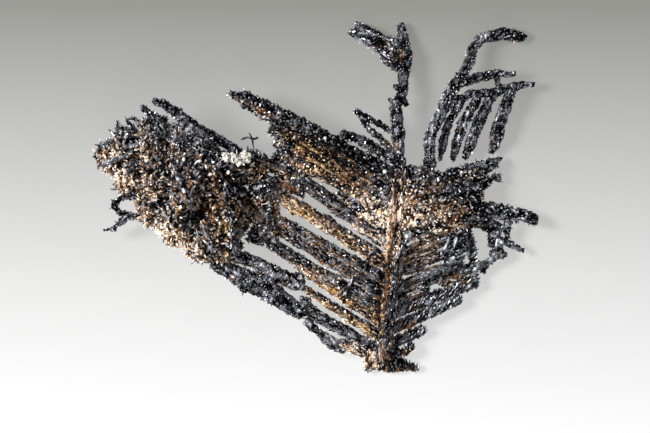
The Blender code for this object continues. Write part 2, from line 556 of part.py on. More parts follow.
def main():
    clear_scene()
    parts = new_collection("native_silver_specimen")
    placed = []
    tarnished = (TARNISHED, 1.0, 0.42)
    rusty = (RUSTY, 0.9, 0.5)
    golden = (GOLDEN, 1.0, 0.38)
    bright = (BRIGHT, 1.0, 0.3)

    def branch(name, strands, finish, pitch=CRYSTAL_PITCH):
        add_part(name, branch_shapes(strands, random.Random(name), pitch), finish, parts, placed)

    add_part("leaf_clump", clump_shapes(random.Random("leaf_clump")), bright, parts, placed)
    branch("central_stem", CENTRAL_STEM, bright)
    branch("upper_blade", UPPER_BLADE, rusty, SHEET_CRYSTAL_PITCH)
    wing_rods = sheet(RIGHT_WING_TOP, RIGHT_WING_FOOT, RIGHT_WING_RODS)
    branch("right_wing", RIGHT_WING_SPIKES + wing_rods, rusty, SHEET_CRYSTAL_PITCH)
    for number, rib in enumerate(LEFT_RIBS, 1):
        finish = golden if number in GOLDEN_RIBS else tarnished
        branch(f"left_rib_{number}", (rib_strand(rib, -1),), finish)
    branch("right_lattice", RIGHT_LATTICE, tarnished, SHEET_CRYSTAL_PITCH)
    for number, rib in enumerate(RIGHT_RIBS, 1):
        branch(f"right_rib_{number}", (rib_strand(rib, 1),), tarnished)
    branch("tall_branch", TALL_BRANCH, tarnished)
    branch("branch_head", BRANCH_HEAD, tarnished)
    branch("top_rib", TOP_RIB, tarnished)
    branch("forked_twig", FORKED_TWIG, tarnished)
    branch("fern_stem", FERN_STEM, tarnished)
    branch("fern_hook", FERN_HOOK, tarnished)
    branch("fern_comb", FERN_COMB, tarnished)
    branch("fern_side_branch", FERN_SIDE_BRANCH, tarnished)
    branch("right_hook_branch", RIGHT_HOOK_BRANCH, tarnished)
    branch("right_edge_blades", RIGHT_EDGE_BLADES, tarnished)
    branch("middle_crust", MIDDLE_CRUST, tarnished)
    branch("lower_crust", LOWER_CRUST, tarnished)
    branch("left_rail", LEFT_RAIL, tarnished)
    branch("clump_rod_long", CLUMP_ROD_LONG, tarnished)
    branch("clump_rod_short", CLUMP_ROD_SHORT, tarnished)
    branch("side_twig", SIDE_TWIG, tarnished)
    calcite = calcite_shapes(random.Random("calcite_patch"))
    add_part("calcite_patch", calcite, (CALCITE, 0.0, 0.5), parts, placed)
    rest_on_origin(parts)


main()
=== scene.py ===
"""Native silver specimen: the crystal crust of its ribs, stem, fern and leafy clump, and its stage."""

import json
import math
import random
from collections import namedtuple

import bmesh
import bpy
from bpy.props import FloatProperty, FloatVectorProperty, IntProperty, PointerProperty
from mathutils import Matrix, Vector

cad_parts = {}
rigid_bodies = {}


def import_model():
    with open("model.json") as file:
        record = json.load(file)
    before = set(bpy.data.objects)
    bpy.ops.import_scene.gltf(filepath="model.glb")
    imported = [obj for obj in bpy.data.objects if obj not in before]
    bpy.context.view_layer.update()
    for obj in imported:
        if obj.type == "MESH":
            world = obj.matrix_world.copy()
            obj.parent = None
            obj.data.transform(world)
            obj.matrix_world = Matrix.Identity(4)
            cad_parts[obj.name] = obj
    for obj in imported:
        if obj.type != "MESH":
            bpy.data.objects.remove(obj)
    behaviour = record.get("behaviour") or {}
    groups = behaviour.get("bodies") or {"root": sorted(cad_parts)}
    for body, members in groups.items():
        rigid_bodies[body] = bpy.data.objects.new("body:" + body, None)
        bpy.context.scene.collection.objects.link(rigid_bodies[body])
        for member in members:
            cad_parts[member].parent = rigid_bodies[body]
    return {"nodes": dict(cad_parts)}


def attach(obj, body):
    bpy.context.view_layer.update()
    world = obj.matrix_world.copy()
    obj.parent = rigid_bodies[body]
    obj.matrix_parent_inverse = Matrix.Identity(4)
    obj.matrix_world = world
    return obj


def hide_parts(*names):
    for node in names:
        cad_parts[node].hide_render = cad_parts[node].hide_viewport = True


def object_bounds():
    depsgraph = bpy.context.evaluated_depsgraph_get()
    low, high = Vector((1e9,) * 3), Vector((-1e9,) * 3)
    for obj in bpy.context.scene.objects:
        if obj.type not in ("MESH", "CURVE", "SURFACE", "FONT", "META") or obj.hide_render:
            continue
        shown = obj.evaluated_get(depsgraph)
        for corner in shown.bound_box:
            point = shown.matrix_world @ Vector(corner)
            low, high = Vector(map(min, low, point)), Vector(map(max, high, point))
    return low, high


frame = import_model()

bl_info = {
    "name": "Native silver specimen",
    "version": (1, 0, 0),
    "blender": (4, 5, 0),
    "location": "View3D > Sidebar > Specimen",
    "description": "Grows the crystal crust of a native silver specimen and sets its stage",
    "category": "Add Mesh",
}

MM = 0.001
BODY = "root"
CAD_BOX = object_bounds()
GRAIN = "grain"  # a crystal's own random number
GROWN = "grown"  # 1 on crystals, 0 on the core beneath
SHINE = "shine"  # how much brighter or darker a layer's crystals are
FACET = "facet"  # a face's own random number; in the silver it lightens the face, partly as its own tone and partly as a painted glint of a facet that catches the light
ALONG = "along"  # the direction that the piece grew in
TIP = "tip"  # how high a corner lies: 0 at a crystal's root or in the core's clefts, 1 at the top; the shader darkens low corners with painted shade
PAINTED_WARM_LIGHT = "weather"  # how far the core's surface faces the lower left, -1 to 1; stains take more easily there, as painted warm light from that side
TAU = 2.0 * math.pi


# Sizes and colours that a user may change


def length(name, description, default):
    return FloatProperty(name=name, description=description, default=default * MM, min=0.0,
                         unit="LENGTH", subtype="DISTANCE", precision=5)


def colour(name, description, default):
    return FloatVectorProperty(name=name, description=description, default=default, min=0.0,
                               max=1.0, size=3, subtype="COLOR")


class SpecimenCrust(bpy.types.PropertyGroup):
    """Sizes of the crystals"""

    voxel: length("Core cell", "Size of the cells that the core's surface is made of", 0.22)
    inset: length("Core inset", "How deep the core lies under the crystals' tips", 0.26)
    relief: length("Core relief", "Height of the core's lumps", 0.70)
    lump: length("Lump", "Usual width of the core's lumps", 0.95)
    grain: length("Grain", "Usual width of a grain", 0.62)
    spacing: length("Spacing", "Least distance between two crystals of a layer", 0.45)
    seed: IntProperty(name="Seed", description="Changes where the crystals grow", default=7, min=0)


class SpecimenFinish(bpy.types.PropertyGroup):
    """Colours of the tarnish"""

    # Black is reached mostly in the painted shade of crystals' roots and the core's clefts.
    black: colour("Black", "Deepest tarnish", (0.003, 0.003, 0.0045))
    steel: colour("Steel", "Blue-grey tarnish", (0.258, 0.264, 0.294))
    pale: colour("Pale", "Bare silver", (0.88, 0.88, 0.91))
    umber: colour("Umber", "Darkest rust stain", (0.014, 0.007, 0.004))
    rust: colour("Rust", "Rust-brown stain", (0.21, 0.085, 0.028))
    tan: colour("Tan", "Palest rust stain", (0.66, 0.50, 0.36))
    amber: colour("Amber", "Golden stain", (0.52, 0.31, 0.11))
    straw: colour("Straw", "Palest golden stain", (0.93, 0.76, 0.46))
    cream: colour("Cream", "Cream-white silver", (0.98, 0.86, 0.70))
    calcite: colour("Calcite", "White calcite grains", (0.78, 0.75, 0.66))


class SpecimenStage(bpy.types.PropertyGroup):
    """The floor, the lights and the camera"""

    floor: colour("Floor", "Colour of the near floor", (0.93, 0.93, 0.93))
    far_floor: colour("Far floor", "Colour of the far floor", (0.27, 0.27, 0.25))
    paper: FloatProperty(name="Paper", description="Share of the floor's colour that shadows darken",
                         default=0.20, min=0.0, max=1.0)
    glow: FloatProperty(name="Glow", description="Share of the floor's colour that glows from below",
                        default=0.78, min=0.0, max=1.0)
    key: FloatProperty(name="Key light", description="Power of the key light in watts",
                       default=7.2, min=0.0)
    fill: FloatProperty(name="Fill light", description="Power of each fill light in watts",
                        default=1.2, min=0.0)
    sky: FloatProperty(name="Sky", description="Strength of the light from all round",
                       default=0.07, min=0.0)
    camera_height: FloatProperty(name="Camera height", description="Camera above the floor",
                                 default=1.0, min=0.1, unit="LENGTH", subtype="DISTANCE")


# Node trees

LEVEL = 0.28  # the height between cleft and top that stays on the CAD's surface
PAINTED_WARM_LIGHT_SIDE = (-0.5, -0.86, 0.0)  # the side whose faces take stains most easily, as painted warm light from the lower left
MIDDLE = (0.5, 0.5, 0.5)  # the middle of a noise's colours
FINENESS = 2.3  # how many of the core's small lumps go on a large one's width
LARGE_FALL = -0.9  # how steeply a large lump falls off
SMALL_FALL = -1.6  # how steeply a small lump falls off
SMALL_SHARE = 0.3  # how much of the relief is small lumps
CROWD = 3.0  # crystals tried for on a square of the spacing
SHAPE_DRAWS = 99  # the highest number that picks a crystal's shape
LEAST_NUMBER = 0.01  # a crystal's own number is never quite 0
CORE_FACETS = 0.35  # how much less the core's facets vary than a crystal's, at either end


def put(tree, kind, inputs=None, **settings):
    """A new node. Its inputs, by name or number, take a value or another node's output."""
    node = tree.nodes.new(kind)
    for name, value in settings.items():
        setattr(node, name, value)
    for key, value in (inputs or {}).items():
        if isinstance(value, bpy.types.NodeSocket):
            tree.links.new(value, node.inputs[key])
        else:
            node.inputs[key].default_value = value
    return node


def new_tree(name, kind, inputs, outputs):
    """A node group with its sockets, as names with their types, and what it is given and has to give."""
    tree = bpy.data.node_groups.new(name, kind)
    for in_out, sockets in (("INPUT", inputs), ("OUTPUT", outputs)):
        for label, socket_type in sockets.items():
            tree.interface.new_socket(label, in_out=in_out, socket_type=f"NodeSocket{socket_type}")
    return tree, tree.nodes.new("NodeGroupInput").outputs, tree.nodes.new("NodeGroupOutput").inputs


def maths(tree, operation, first, second=0.0, third=0.0, clamp=False):
    node = put(tree, "ShaderNodeMath", {0: first, 1: second, 2: third}, operation=operation)
    node.use_clamp = clamp
    return node.outputs[0]


def vector_maths(tree, operation, first, second=None, scale=None, output=0):
    inputs = {0: first}
    if second is not None:
        inputs[1] = second
    if scale is not None:
        inputs["Scale"] = scale
    return put(tree, "ShaderNodeVectorMath", inputs, operation=operation).outputs[output]


def noise(tree, place, scale, detail):
    """A noise's outputs: first its value, then its colour."""
    return put(tree, "ShaderNodeTexNoise", {"Vector": place, "Scale": scale, "Detail": detail}).outputs


def drawn_out(tree, place, along, share):
    """A place moved back along a direction, so that a pattern on it is longer that way."""
    distance = vector_maths(tree, "DOT_PRODUCT", place, along, output="Value")
    back = vector_maths(tree, "SCALE", along, scale=maths(tree, "MULTIPLY", distance, share))
    return vector_maths(tree, "SUBTRACT", place, back)


def random_number(tree, low, high, seed, kind="FLOAT"):
    """A random number, whole number or vector for each point."""
    node = put(tree, "FunctionNodeRandomValue", data_type=kind)
    shown = [socket for socket in node.inputs if socket.enabled]
    for socket, value in zip(shown, (low, high)):
        if isinstance(value, bpy.types.NodeSocket):
            tree.links.new(value, socket)
        else:
            socket.default_value = value
    tree.links.new(seed, node.inputs["Seed"])
    return next(socket for socket in node.outputs if socket.enabled)


def named_number(tree, name):
    """What an attribute says, in a geometry tree."""
    return put(tree, "GeometryNodeInputNamedAttribute", {"Name": name}, data_type="FLOAT").outputs[0]


def store(tree, geometry, name, value, domain="POINT", kind="FLOAT"):
    """The geometry with an attribute on it."""
    return put(tree, "GeometryNodeStoreNamedAttribute", {"Geometry": geometry, "Name": name, "Value": value},
               data_type=kind, domain=domain).outputs[0]


def coat(tree, geometry, finish):
    """The geometry as plain mesh with its material."""
    real = put(tree, "GeometryNodeRealizeInstances", {"Geometry": geometry}).outputs[0]
    return put(tree, "GeometryNodeSetMaterial", {"Geometry": real, "Material": finish}).outputs[0]


def core_tree():
    """Covers the core's surface with lumps, longer along the branch, and numbers them."""
    tree, given, result = new_tree("specimen_core", "GeometryNodeTree", {
        "Geometry": "Geometry", "Inset": "Float", "Relief": "Float", "Lump": "Float",
        "Shrink along": "Float", "Along": "Vector", "Finish": "Material",
    }, {"Geometry": "Geometry"})
    place = put(tree, "GeometryNodeInputPosition").outputs[0]
    place = drawn_out(tree, place, given["Along"], given["Shrink along"])
    density = maths(tree, "DIVIDE", 1.0, given["Lump"])
    bends = vector_maths(tree, "SUBTRACT", noise(tree, place, density, 1.0)["Color"], MIDDLE)
    place = vector_maths(tree, "ADD", place, vector_maths(tree, "SCALE", bends, scale=given["Lump"]))
    large = put(tree, "ShaderNodeTexVoronoi", {"Vector": place, "Scale": density}, distance="MANHATTAN")
    finer = maths(tree, "MULTIPLY", density, FINENESS)
    small = put(tree, "ShaderNodeTexVoronoi", {"Vector": place, "Scale": finer}, distance="CHEBYCHEV")
    high = maths(tree, "MULTIPLY_ADD", large.outputs["Distance"], LARGE_FALL, 1.0)
    high = maths(tree, "MULTIPLY", high, 1.0 - SMALL_SHARE)
    low = maths(tree, "MULTIPLY_ADD", small.outputs["Distance"], SMALL_FALL, 1.0)
    high = maths(tree, "ADD", high, maths(tree, "MULTIPLY", low, SMALL_SHARE), clamp=True)
    rise = maths(tree, "MULTIPLY", maths(tree, "SUBTRACT", high, LEVEL), given["Relief"])
    rise = maths(tree, "SUBTRACT", rise, given["Inset"])
    normal = put(tree, "GeometryNodeInputNormal").outputs[0]
    # How far each face looks towards the lower left, for the painted warm light from that side.
    faced = vector_maths(tree, "DOT_PRODUCT", normal, PAINTED_WARM_LIGHT_SIDE, output="Value")
    moved = put(tree, "GeometryNodeSetPosition", {
        "Geometry": store(tree, given["Geometry"], PAINTED_WARM_LIGHT, faced),
        "Offset": vector_maths(tree, "SCALE", normal, scale=rise),
    })
    # The lumps' height, so that their clefts get painted shade.
    lifted = store(tree, moved.outputs[0], TIP, high)
    number = put(tree, "ShaderNodeSeparateXYZ", {0: large.outputs["Color"]}).outputs[0]
    numbered = store(tree, lifted, GRAIN, number)
    tree.links.new(coat(tree, numbered, given["Finish"]), result["Geometry"])
    return tree


def layer_tree():
    """Grows one layer of crystals on the core, and keeps what is there already."""
    tree, given, result = new_tree("specimen_layer", "GeometryNodeTree", {
        "Geometry": "Geometry", "Shapes": "Collection", "Spacing": "Float", "Share": "Float",
        "Smallest": "Float", "Largest": "Float", "Stretch": "Float", "Tilt": "Float", "Growth": "Vector",
        "Sink": "Float", "Shine": "Float", "Steepest": "Float", "Seed": "Int", "Finish": "Material",
    }, {"Geometry": "Geometry"})
    seed = given["Seed"]
    normal = put(tree, "GeometryNodeInputNormal").outputs[0]
    level = maths(tree, "ABSOLUTE", put(tree, "ShaderNodeSeparateXYZ", {0: normal}).outputs[2])
    bare = maths(tree, "SUBTRACT", 1.0, named_number(tree, GROWN))
    allowed = maths(tree, "LESS_THAN", level, given["Steepest"])
    area = maths(tree, "MULTIPLY", given["Spacing"], given["Spacing"])
    spots = put(tree, "GeometryNodeDistributePointsOnFaces", {
        "Mesh": given["Geometry"],
        "Selection": maths(tree, "MULTIPLY", bare, allowed),
        "Distance Min": given["Spacing"],
        "Density Max": maths(tree, "DIVIDE", CROWD, area),
        "Density Factor": given["Share"],
        "Seed": seed,
    }, distribute_method="POISSON").outputs
    spread = random_number(tree, (-1.0, -1.0, -1.0), (1.0, 1.0, 1.0), seed, "FLOAT_VECTOR")
    tilted = vector_maths(tree, "SCALE", spread, scale=given["Tilt"])
    out = vector_maths(tree, "ADD", spots["Normal"], tilted)
    out = vector_maths(tree, "ADD", out, given["Growth"])
    upright = put(tree, "FunctionNodeAlignRotationToVector", {"Vector": out}, axis="Z")
    spin = put(tree, "ShaderNodeCombineXYZ", {2: random_number(tree, 0.0, TAU, seed)})
    turned = put(tree, "FunctionNodeRotateRotation",
                 {0: upright.outputs[0], 1: spin.outputs[0]}, rotation_space="LOCAL")
    size_seed = maths(tree, "ADD", seed, 1.0)
    size = random_number(tree, given["Smallest"], given["Largest"], size_seed)
    tall = maths(tree, "MULTIPLY", size, given["Stretch"])
    down = maths(tree, "MULTIPLY", given["Sink"], -1.0)
    sunk = put(tree, "GeometryNodeSetPosition", {
        "Geometry": spots["Points"], "Offset": vector_maths(tree, "SCALE", spots["Normal"], scale=down),
    })
    shapes = put(tree, "GeometryNodeCollectionInfo", {
        "Collection": given["Shapes"], "Separate Children": True, "Reset Children": True,
    })
    crystals = put(tree, "GeometryNodeInstanceOnPoints", {
        "Points": sunk.outputs[0],
        "Instance": shapes.outputs[0],
        "Pick Instance": True,
        "Instance Index": random_number(tree, 0, SHAPE_DRAWS, seed, "INT"),
        "Rotation": turned.outputs[0],
        "Scale": put(tree, "ShaderNodeCombineXYZ", {0: size, 1: size, 2: tall}).outputs[0],
    })
    number = random_number(tree, LEAST_NUMBER, 1.0, maths(tree, "ADD", seed, 2.0))
    marked = store(tree, crystals.outputs[0], GRAIN, number, "INSTANCE")
    marked = store(tree, marked, SHINE, given["Shine"], "INSTANCE")
    marked = store(tree, marked, GROWN, 1.0, "INSTANCE")
    joined = put(tree, "GeometryNodeJoinGeometry")
    tree.links.new(coat(tree, marked, given["Finish"]), joined.inputs[0])
    tree.links.new(given["Geometry"], joined.inputs[0])
    tree.links.new(joined.outputs[0], result["Geometry"])
    return tree


def settle_tree():
    """Numbers the faces, and presses what would sink into the floor or stand too high."""
    tree, given, result = new_tree("specimen_settle", "GeometryNodeTree", {
        "Geometry": "Geometry", "Lowest": "Float", "Highest": "Float", "Along": "Vector",
        "Seed": "Int", "Finish": "Material",
    }, {"Geometry": "Geometry"})
    position = put(tree, "GeometryNodeInputPosition").outputs[0]
    place = put(tree, "ShaderNodeSeparateXYZ", {0: position}).outputs
    high = maths(tree, "MAXIMUM", place[2], given["Lowest"])
    high = maths(tree, "MINIMUM", high, given["Highest"])
    kept = put(tree, "ShaderNodeCombineXYZ", {0: place[0], 1: place[1], 2: high})
    settled = put(tree, "GeometryNodeSetPosition",
                  {"Geometry": given["Geometry"], "Position": kept.outputs[0]})
    grown = named_number(tree, GROWN)
    least = maths(tree, "MULTIPLY_ADD", grown, -CORE_FACETS, CORE_FACETS)
    most = maths(tree, "MULTIPLY_ADD", grown, CORE_FACETS, 1.0 - CORE_FACETS)
    facet = random_number(tree, least, most, given["Seed"])
    marked = store(tree, settled.outputs[0], FACET, facet, "FACE")
    marked = store(tree, marked, ALONG, given["Along"], kind="FLOAT_VECTOR")
    tree.links.new(coat(tree, marked, given["Finish"]), result["Geometry"])
    return tree


TREES = {"specimen_core": core_tree, "specimen_layer": layer_tree, "specimen_settle": settle_tree}


def grow(thing, tree_name, values):
    """Adds one of the trees to an object, its inputs set by their names."""
    tree = bpy.data.node_groups.get(tree_name) or TREES[tree_name]()
    modifier = thing.modifiers.new(tree_name, "NODES")
    modifier.node_group = tree
    for socket in tree.interface.items_tree:
        if socket.in_out == "INPUT" and socket.name in values:
            modifier[socket.identifier] = values[socket.name]


# Crystal shapes, each about one unit long, with its root near the origin and its tip along +Z

ROOT_DEPTH = -0.15  # below this height a shape is as dark as the core, in painted shade
TOOTH_HEIGHT = 1.3
TOOTH_RISE = 0.35  # the height of a tooth's middle
STRIP_ROOT = -0.2  # the height of a strip's lower end
STRIP_REACH = 1.2


def mesh_of(name, made):
    """A mesh of triangles that face outwards."""
    bmesh.ops.triangulate(made, faces=made.faces)
    bmesh.ops.recalc_face_normals(made, faces=made.faces)
    mesh = bpy.data.meshes.new(name)
    made.to_mesh(mesh)
    made.free()
    return mesh


def skin(made, rings):
    """Joins rings of corners, each to the next, and closes both ends."""
    for low, high in zip(rings, rings[1:]):
        for corner in range(len(low)):
            after = (corner + 1) % len(low)
            made.faces.new((low[corner], low[after], high[after], high[corner]))
    made.faces.new(rings[0][::-1])
    made.faces.new(rings[-1])


def shape_object(name, made, collection):
    mesh = mesh_of(name, made)
    top = max(vert.co.z for vert in mesh.vertices)
    # Heights from root to tip, so that a crystal's root gets painted shade.
    heights = mesh.attributes.new(TIP, "FLOAT", "POINT").data
    for vert, height in zip(mesh.vertices, heights):
        height.value = min(max((vert.co.z - ROOT_DEPTH) / (top - ROOT_DEPTH), 0.0), 1.0)
    collection.objects.link(bpy.data.objects.new(name, mesh))


def octahedron(width, height, lift, twist=0.0):
    """A double pyramid."""
    made = bmesh.new()
    bmesh.ops.create_uvsphere(made, u_segments=4, v_segments=2, radius=0.5)
    place = Matrix.Translation((0, 0, lift)) @ Matrix.Rotation(twist, 4, "Z")
    bmesh.ops.transform(made, verts=made.verts,
                        matrix=place @ Matrix.Diagonal((width, width, height, 1.0)))
    return made


def block(width, depth, height, lift, taper, lean):
    """A cube with a smaller top, leaning to one side."""
    made = bmesh.new()
    bmesh.ops.create_cube(made, size=1.0)
    for vert in made.verts:
        top = vert.co.z > 0
        vert.co.x = vert.co.x * width * (taper if top else 1.0) + (lean if top else 0.0)
        vert.co.y *= depth * (taper if top else 1.0)
        vert.co.z = vert.co.z * height + lift
    return made


def tooth(sides, width, bend):
    """A pointed crystal, a little bent."""
    made = bmesh.new()
    bmesh.ops.create_cone(made, cap_ends=True, segments=sides, radius1=width, radius2=0.0,
                          depth=TOOTH_HEIGHT)
    for vert in made.verts:
        vert.co.z += TOOTH_RISE
        vert.co.x += bend * max(vert.co.z, 0.0) ** 2
    return made


def strip(steps, width, thickness, turn, point):
    """A flat chip or wire that bends as it rises, narrower at its tip."""
    made = bmesh.new()
    rings = []
    place, angle = Vector((0.0, 0.0, STRIP_ROOT)), 0.0
    for step in range(steps + 1):
        share = step / steps
        half = Vector((0.0, width * (1.0 - point * share ** 2) / 2, 0.0))
        across = Vector((math.cos(angle), 0.0, -math.sin(angle))) * thickness / 2
        rings.append([made.verts.new(place + one * half + other * across)
                      for one, other in ((1, 1), (-1, 1), (-1, -1), (1, -1))])
        place = place + Vector((math.sin(angle), 0.0, math.cos(angle))) * STRIP_REACH / steps
        angle += turn / steps
    skin(made, rings)
    return made


def crystal_shapes():
    """The collections of shapes that the layers pick from."""
    kinds = {
        "grains": (octahedron(0.95, 0.95, 0.1), block(0.9, 0.4, 0.75, 0.12, 0.8, 0.1),
                   block(0.45, 0.9, 0.8, 0.15, 0.7, -0.1), block(0.75, 0.5, 0.6, 0.1, 0.85, 0.05),
                   octahedron(0.6, 1.3, 0.15, 0.7), block(0.6, 0.65, 0.8, 0.15, 0.55, -0.2)),
        "fibres": (block(0.36, 0.26, 1.4, 0.3, 0.7, 0.1), block(0.3, 0.42, 1.1, 0.25, 0.8, -0.1),
                   octahedron(0.42, 1.6, 0.3), block(0.5, 0.3, 0.9, 0.2, 0.8, 0.05)),
        "teeth": (tooth(4, 0.28, 0.15), tooth(5, 0.22, -0.2), block(0.4, 0.3, 0.9, 0.25, 0.6, 0.15)),
        "chips": (strip(3, 0.36, 0.13, 0.9, 0.5), strip(3, 0.30, 0.12, 0.4, 0.8),
                  strip(3, 0.26, 0.12, 1.4, 0.7), strip(2, 0.42, 0.16, 0.3, 0.6),
                  block(0.5, 0.2, 0.9, 0.2, 0.8, 0.1), octahedron(0.4, 1.3, 0.3)),
        "wires": (strip(4, 0.15, 0.12, 1.0, 0.7), strip(4, 0.18, 0.13, 1.8, 0.8),
                  strip(3, 0.14, 0.12, 0.3, 0.8)),
    }
    made = {}
    for kind, shapes in kinds.items():
        made[kind] = bpy.data.collections.new(f"specimen_{kind}")
        for number, shape in enumerate(shapes):
            shape_object(f"{kind}_{number}", shape, made[kind])
    return made


def shapes_of(kind):
    found = bpy.data.collections.get(f"specimen_{kind}")
    return found or crystal_shapes()[kind]


# Crusts. Inset, relief, lump and spacing are shares of the sizes with the same names in the panel, and
# smallest, largest and sink are shares of its grain. Shrink draws the lumps out along the branch. Growth is
# how much a crystal leans along the branch, and tilt how much it leans at random. Steepest is how far a face
# may look up or down: a layer that has it grows on the sides alone.

ANY_FACE = 1.1  # more than any face has, so that a layer grows on all of them
Layer = namedtuple("Layer", "kind spacing share smallest largest stretch tilt growth sink shine steepest",
                   defaults=(ANY_FACE,))
Crust = namedtuple("Crust", "inset relief lump shrink layers")

CRUSTS = {
    "ribs": Crust(-0.2, 0.8, 0.75, 0.6, (
        Layer("fibres", 0.95, 1.0, 0.6, 1.15, 1.0, 0.3, 3.0, 0.05, 0.0),
        Layer("grains", 1.7, 0.9, 0.45, 0.95, 1.1, 0.5, 0.8, 0.1, 0.05),
        Layer("teeth", 3.2, 0.5, 0.5, 0.9, 1.0, 0.5, 0.8, 0.1, 0.0, 0.6),
    )),
    "blocky": Crust(-0.2, 1.0, 0.9, 0.4, (
        Layer("grains", 1.15, 1.0, 0.6, 1.2, 1.1, 0.5, 0.9, 0.15, 0.0),
        Layer("fibres", 1.5, 0.8, 0.6, 1.1, 1.0, 0.4, 2.0, 0.05, 0.0),
        Layer("teeth", 2.4, 0.8, 0.7, 1.2, 1.0, 0.6, 0.5, 0.1, 0.1, 0.6),
    )),
    "dark": Crust(-0.2, 1.15, 1.0, 0.3, (
        Layer("grains", 1.15, 1.0, 0.55, 1.15, 1.1, 0.7, 0.7, 0.25, 0.0),
        Layer("chips", 1.9, 0.9, 0.8, 1.4, 1.0, 1.0, 0.6, 0.1, 0.03),
        Layer("teeth", 2.2, 0.8, 0.7, 1.2, 1.0, 0.7, 0.5, 0.1, 0.0, 0.6),
    )),
    "scaly": Crust(-0.5, 0.75, 0.75, 0.5, (
        Layer("grains", 0.9, 1.0, 0.4, 0.85, 1.4, 0.4, 1.2, 0.2, 0.0),
        Layer("teeth", 2.6, 0.6, 0.6, 1.0, 1.0, 0.6, 0.6, 0.1, 0.0, 0.6),
    )),
    "striated": Crust(-0.4, 0.6, 0.7, 0.8, (
        Layer("fibres", 0.95, 1.0, 0.6, 1.2, 1.0, 0.25, 3.0, 0.05, 0.0),
        Layer("teeth", 3.2, 0.5, 0.5, 0.9, 1.0, 0.6, 0.6, 0.1, 0.0, 0.6),
    )),
    "leafy": Crust(0.3, 1.1, 1.0, 0.0, (
        Layer("grains", 1.45, 1.0, 0.6, 1.2, 1.0, 1.0, 0.0, 0.1, -0.05),
        Layer("chips", 1.4, 1.0, 1.05, 2.1, 1.0, 1.6, 0.0, 0.0, 0.05),
        Layer("wires", 3.6, 0.5, 1.6, 2.8, 1.0, 1.8, 0.0, 0.2, 0.05),
    )),
    "twig": Crust(-0.3, 0.9, 0.7, 0.3, (
        Layer("grains", 1.2, 1.0, 0.55, 1.1, 1.1, 0.7, 0.5, 0.2, 0.0),
        Layer("teeth", 2.2, 0.7, 0.6, 1.0, 1.0, 0.6, 0.6, 0.1, 0.0, 0.7),
    )),
    "calcite": Crust(0.0, 1.0, 1.0, 0.0, (
        Layer("grains", 1.0, 1.0, 0.8, 1.6, 0.9, 0.9, 0.0, 0.1, 0.0),
    )),
}


WELD = 1e-7  # corners this close, in metres, are merged
SEED_STEP = 10  # between the seeds of a piece's layers
FLOOR_GAP = 0.02 * MM
HIGHEST = CAD_BOX[1].z + 0.4 * MM


def core_copy(node_name, piece_name):
    """A copy of a node's mesh with its corners merged and its surface in small cells."""
    mesh = frame["nodes"][node_name].data.copy()
    mesh.name = piece_name
    welded = bmesh.new()
    welded.from_mesh(mesh)
    bmesh.ops.remove_doubles(welded, verts=welded.verts, dist=WELD)
    welded.to_mesh(mesh)
    welded.free()
    piece = bpy.data.objects.new(piece_name, mesh)
    bpy.context.scene.collection.objects.link(piece)
    cells = piece.modifiers.new("cells", "REMESH")
    cells.mode = "VOXEL"
    cells.voxel_size = bpy.context.scene.specimen_crust.voxel
    return piece


def grow_layers(piece, layers, growth, finish):
    """Grows the layers of crystals on a piece, one after another."""
    sizes = bpy.context.scene.specimen_crust
    for number, layer in enumerate(layers):
        grow(piece, "specimen_layer", {
            "Shapes": shapes_of(layer.kind),
            "Spacing": sizes.spacing * layer.spacing,
            "Share": layer.share,
            "Smallest": sizes.grain * layer.smallest,
            "Largest": sizes.grain * layer.largest,
            "Stretch": layer.stretch,
            "Tilt": layer.tilt,
            "Growth": tuple(Vector(growth) * layer.growth),
            "Sink": sizes.grain * layer.sink,
            "Shine": layer.shine,
            "Steepest": layer.steepest,
            "Seed": sizes.seed + SEED_STEP * number + len(piece.name),
            "Finish": finish,
        })


def settle(piece, seed, along, finish):
    """Grows the last tree on a piece and turns all its trees into plain mesh."""
    grow(piece, "specimen_settle", {
        "Lowest": FLOOR_GAP, "Highest": HIGHEST, "Seed": seed, "Along": along, "Finish": finish,
    })
    depsgraph = bpy.context.evaluated_depsgraph_get()
    mesh = bpy.data.meshes.new_from_object(piece.evaluated_get(depsgraph))
    mesh.name = piece.name
    old = piece.data
    piece.modifiers.clear()
    piece.data = mesh
    bpy.data.meshes.remove(old)
    mesh.shade_flat()


def crusted(node_name, crust_name, growth=(0.0, 0.0, 0.0)):
    """Makes the piece that stands for a CAD node: its core with the layers of crystals on it."""
    sizes = bpy.context.scene.specimen_crust
    crust = CRUSTS[crust_name]
    slot = frame["nodes"][node_name].data.materials[0].name.split(".")[0]
    finish = finish_for(slot)
    along = tuple(Vector(growth).normalized())
    piece = core_copy(node_name, f"{node_name}_crystals")
    grow(piece, "specimen_core", {
        "Inset": sizes.inset * crust.inset,
        "Relief": sizes.relief * crust.relief,
        "Lump": sizes.lump * crust.lump,
        "Shrink along": crust.shrink,
        "Along": along,
        "Finish": finish,
    })
    grow_layers(piece, crust.layers, growth, finish)
    settle(piece, sizes.seed, along, finish)
    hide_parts(node_name)
    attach(piece, BODY)
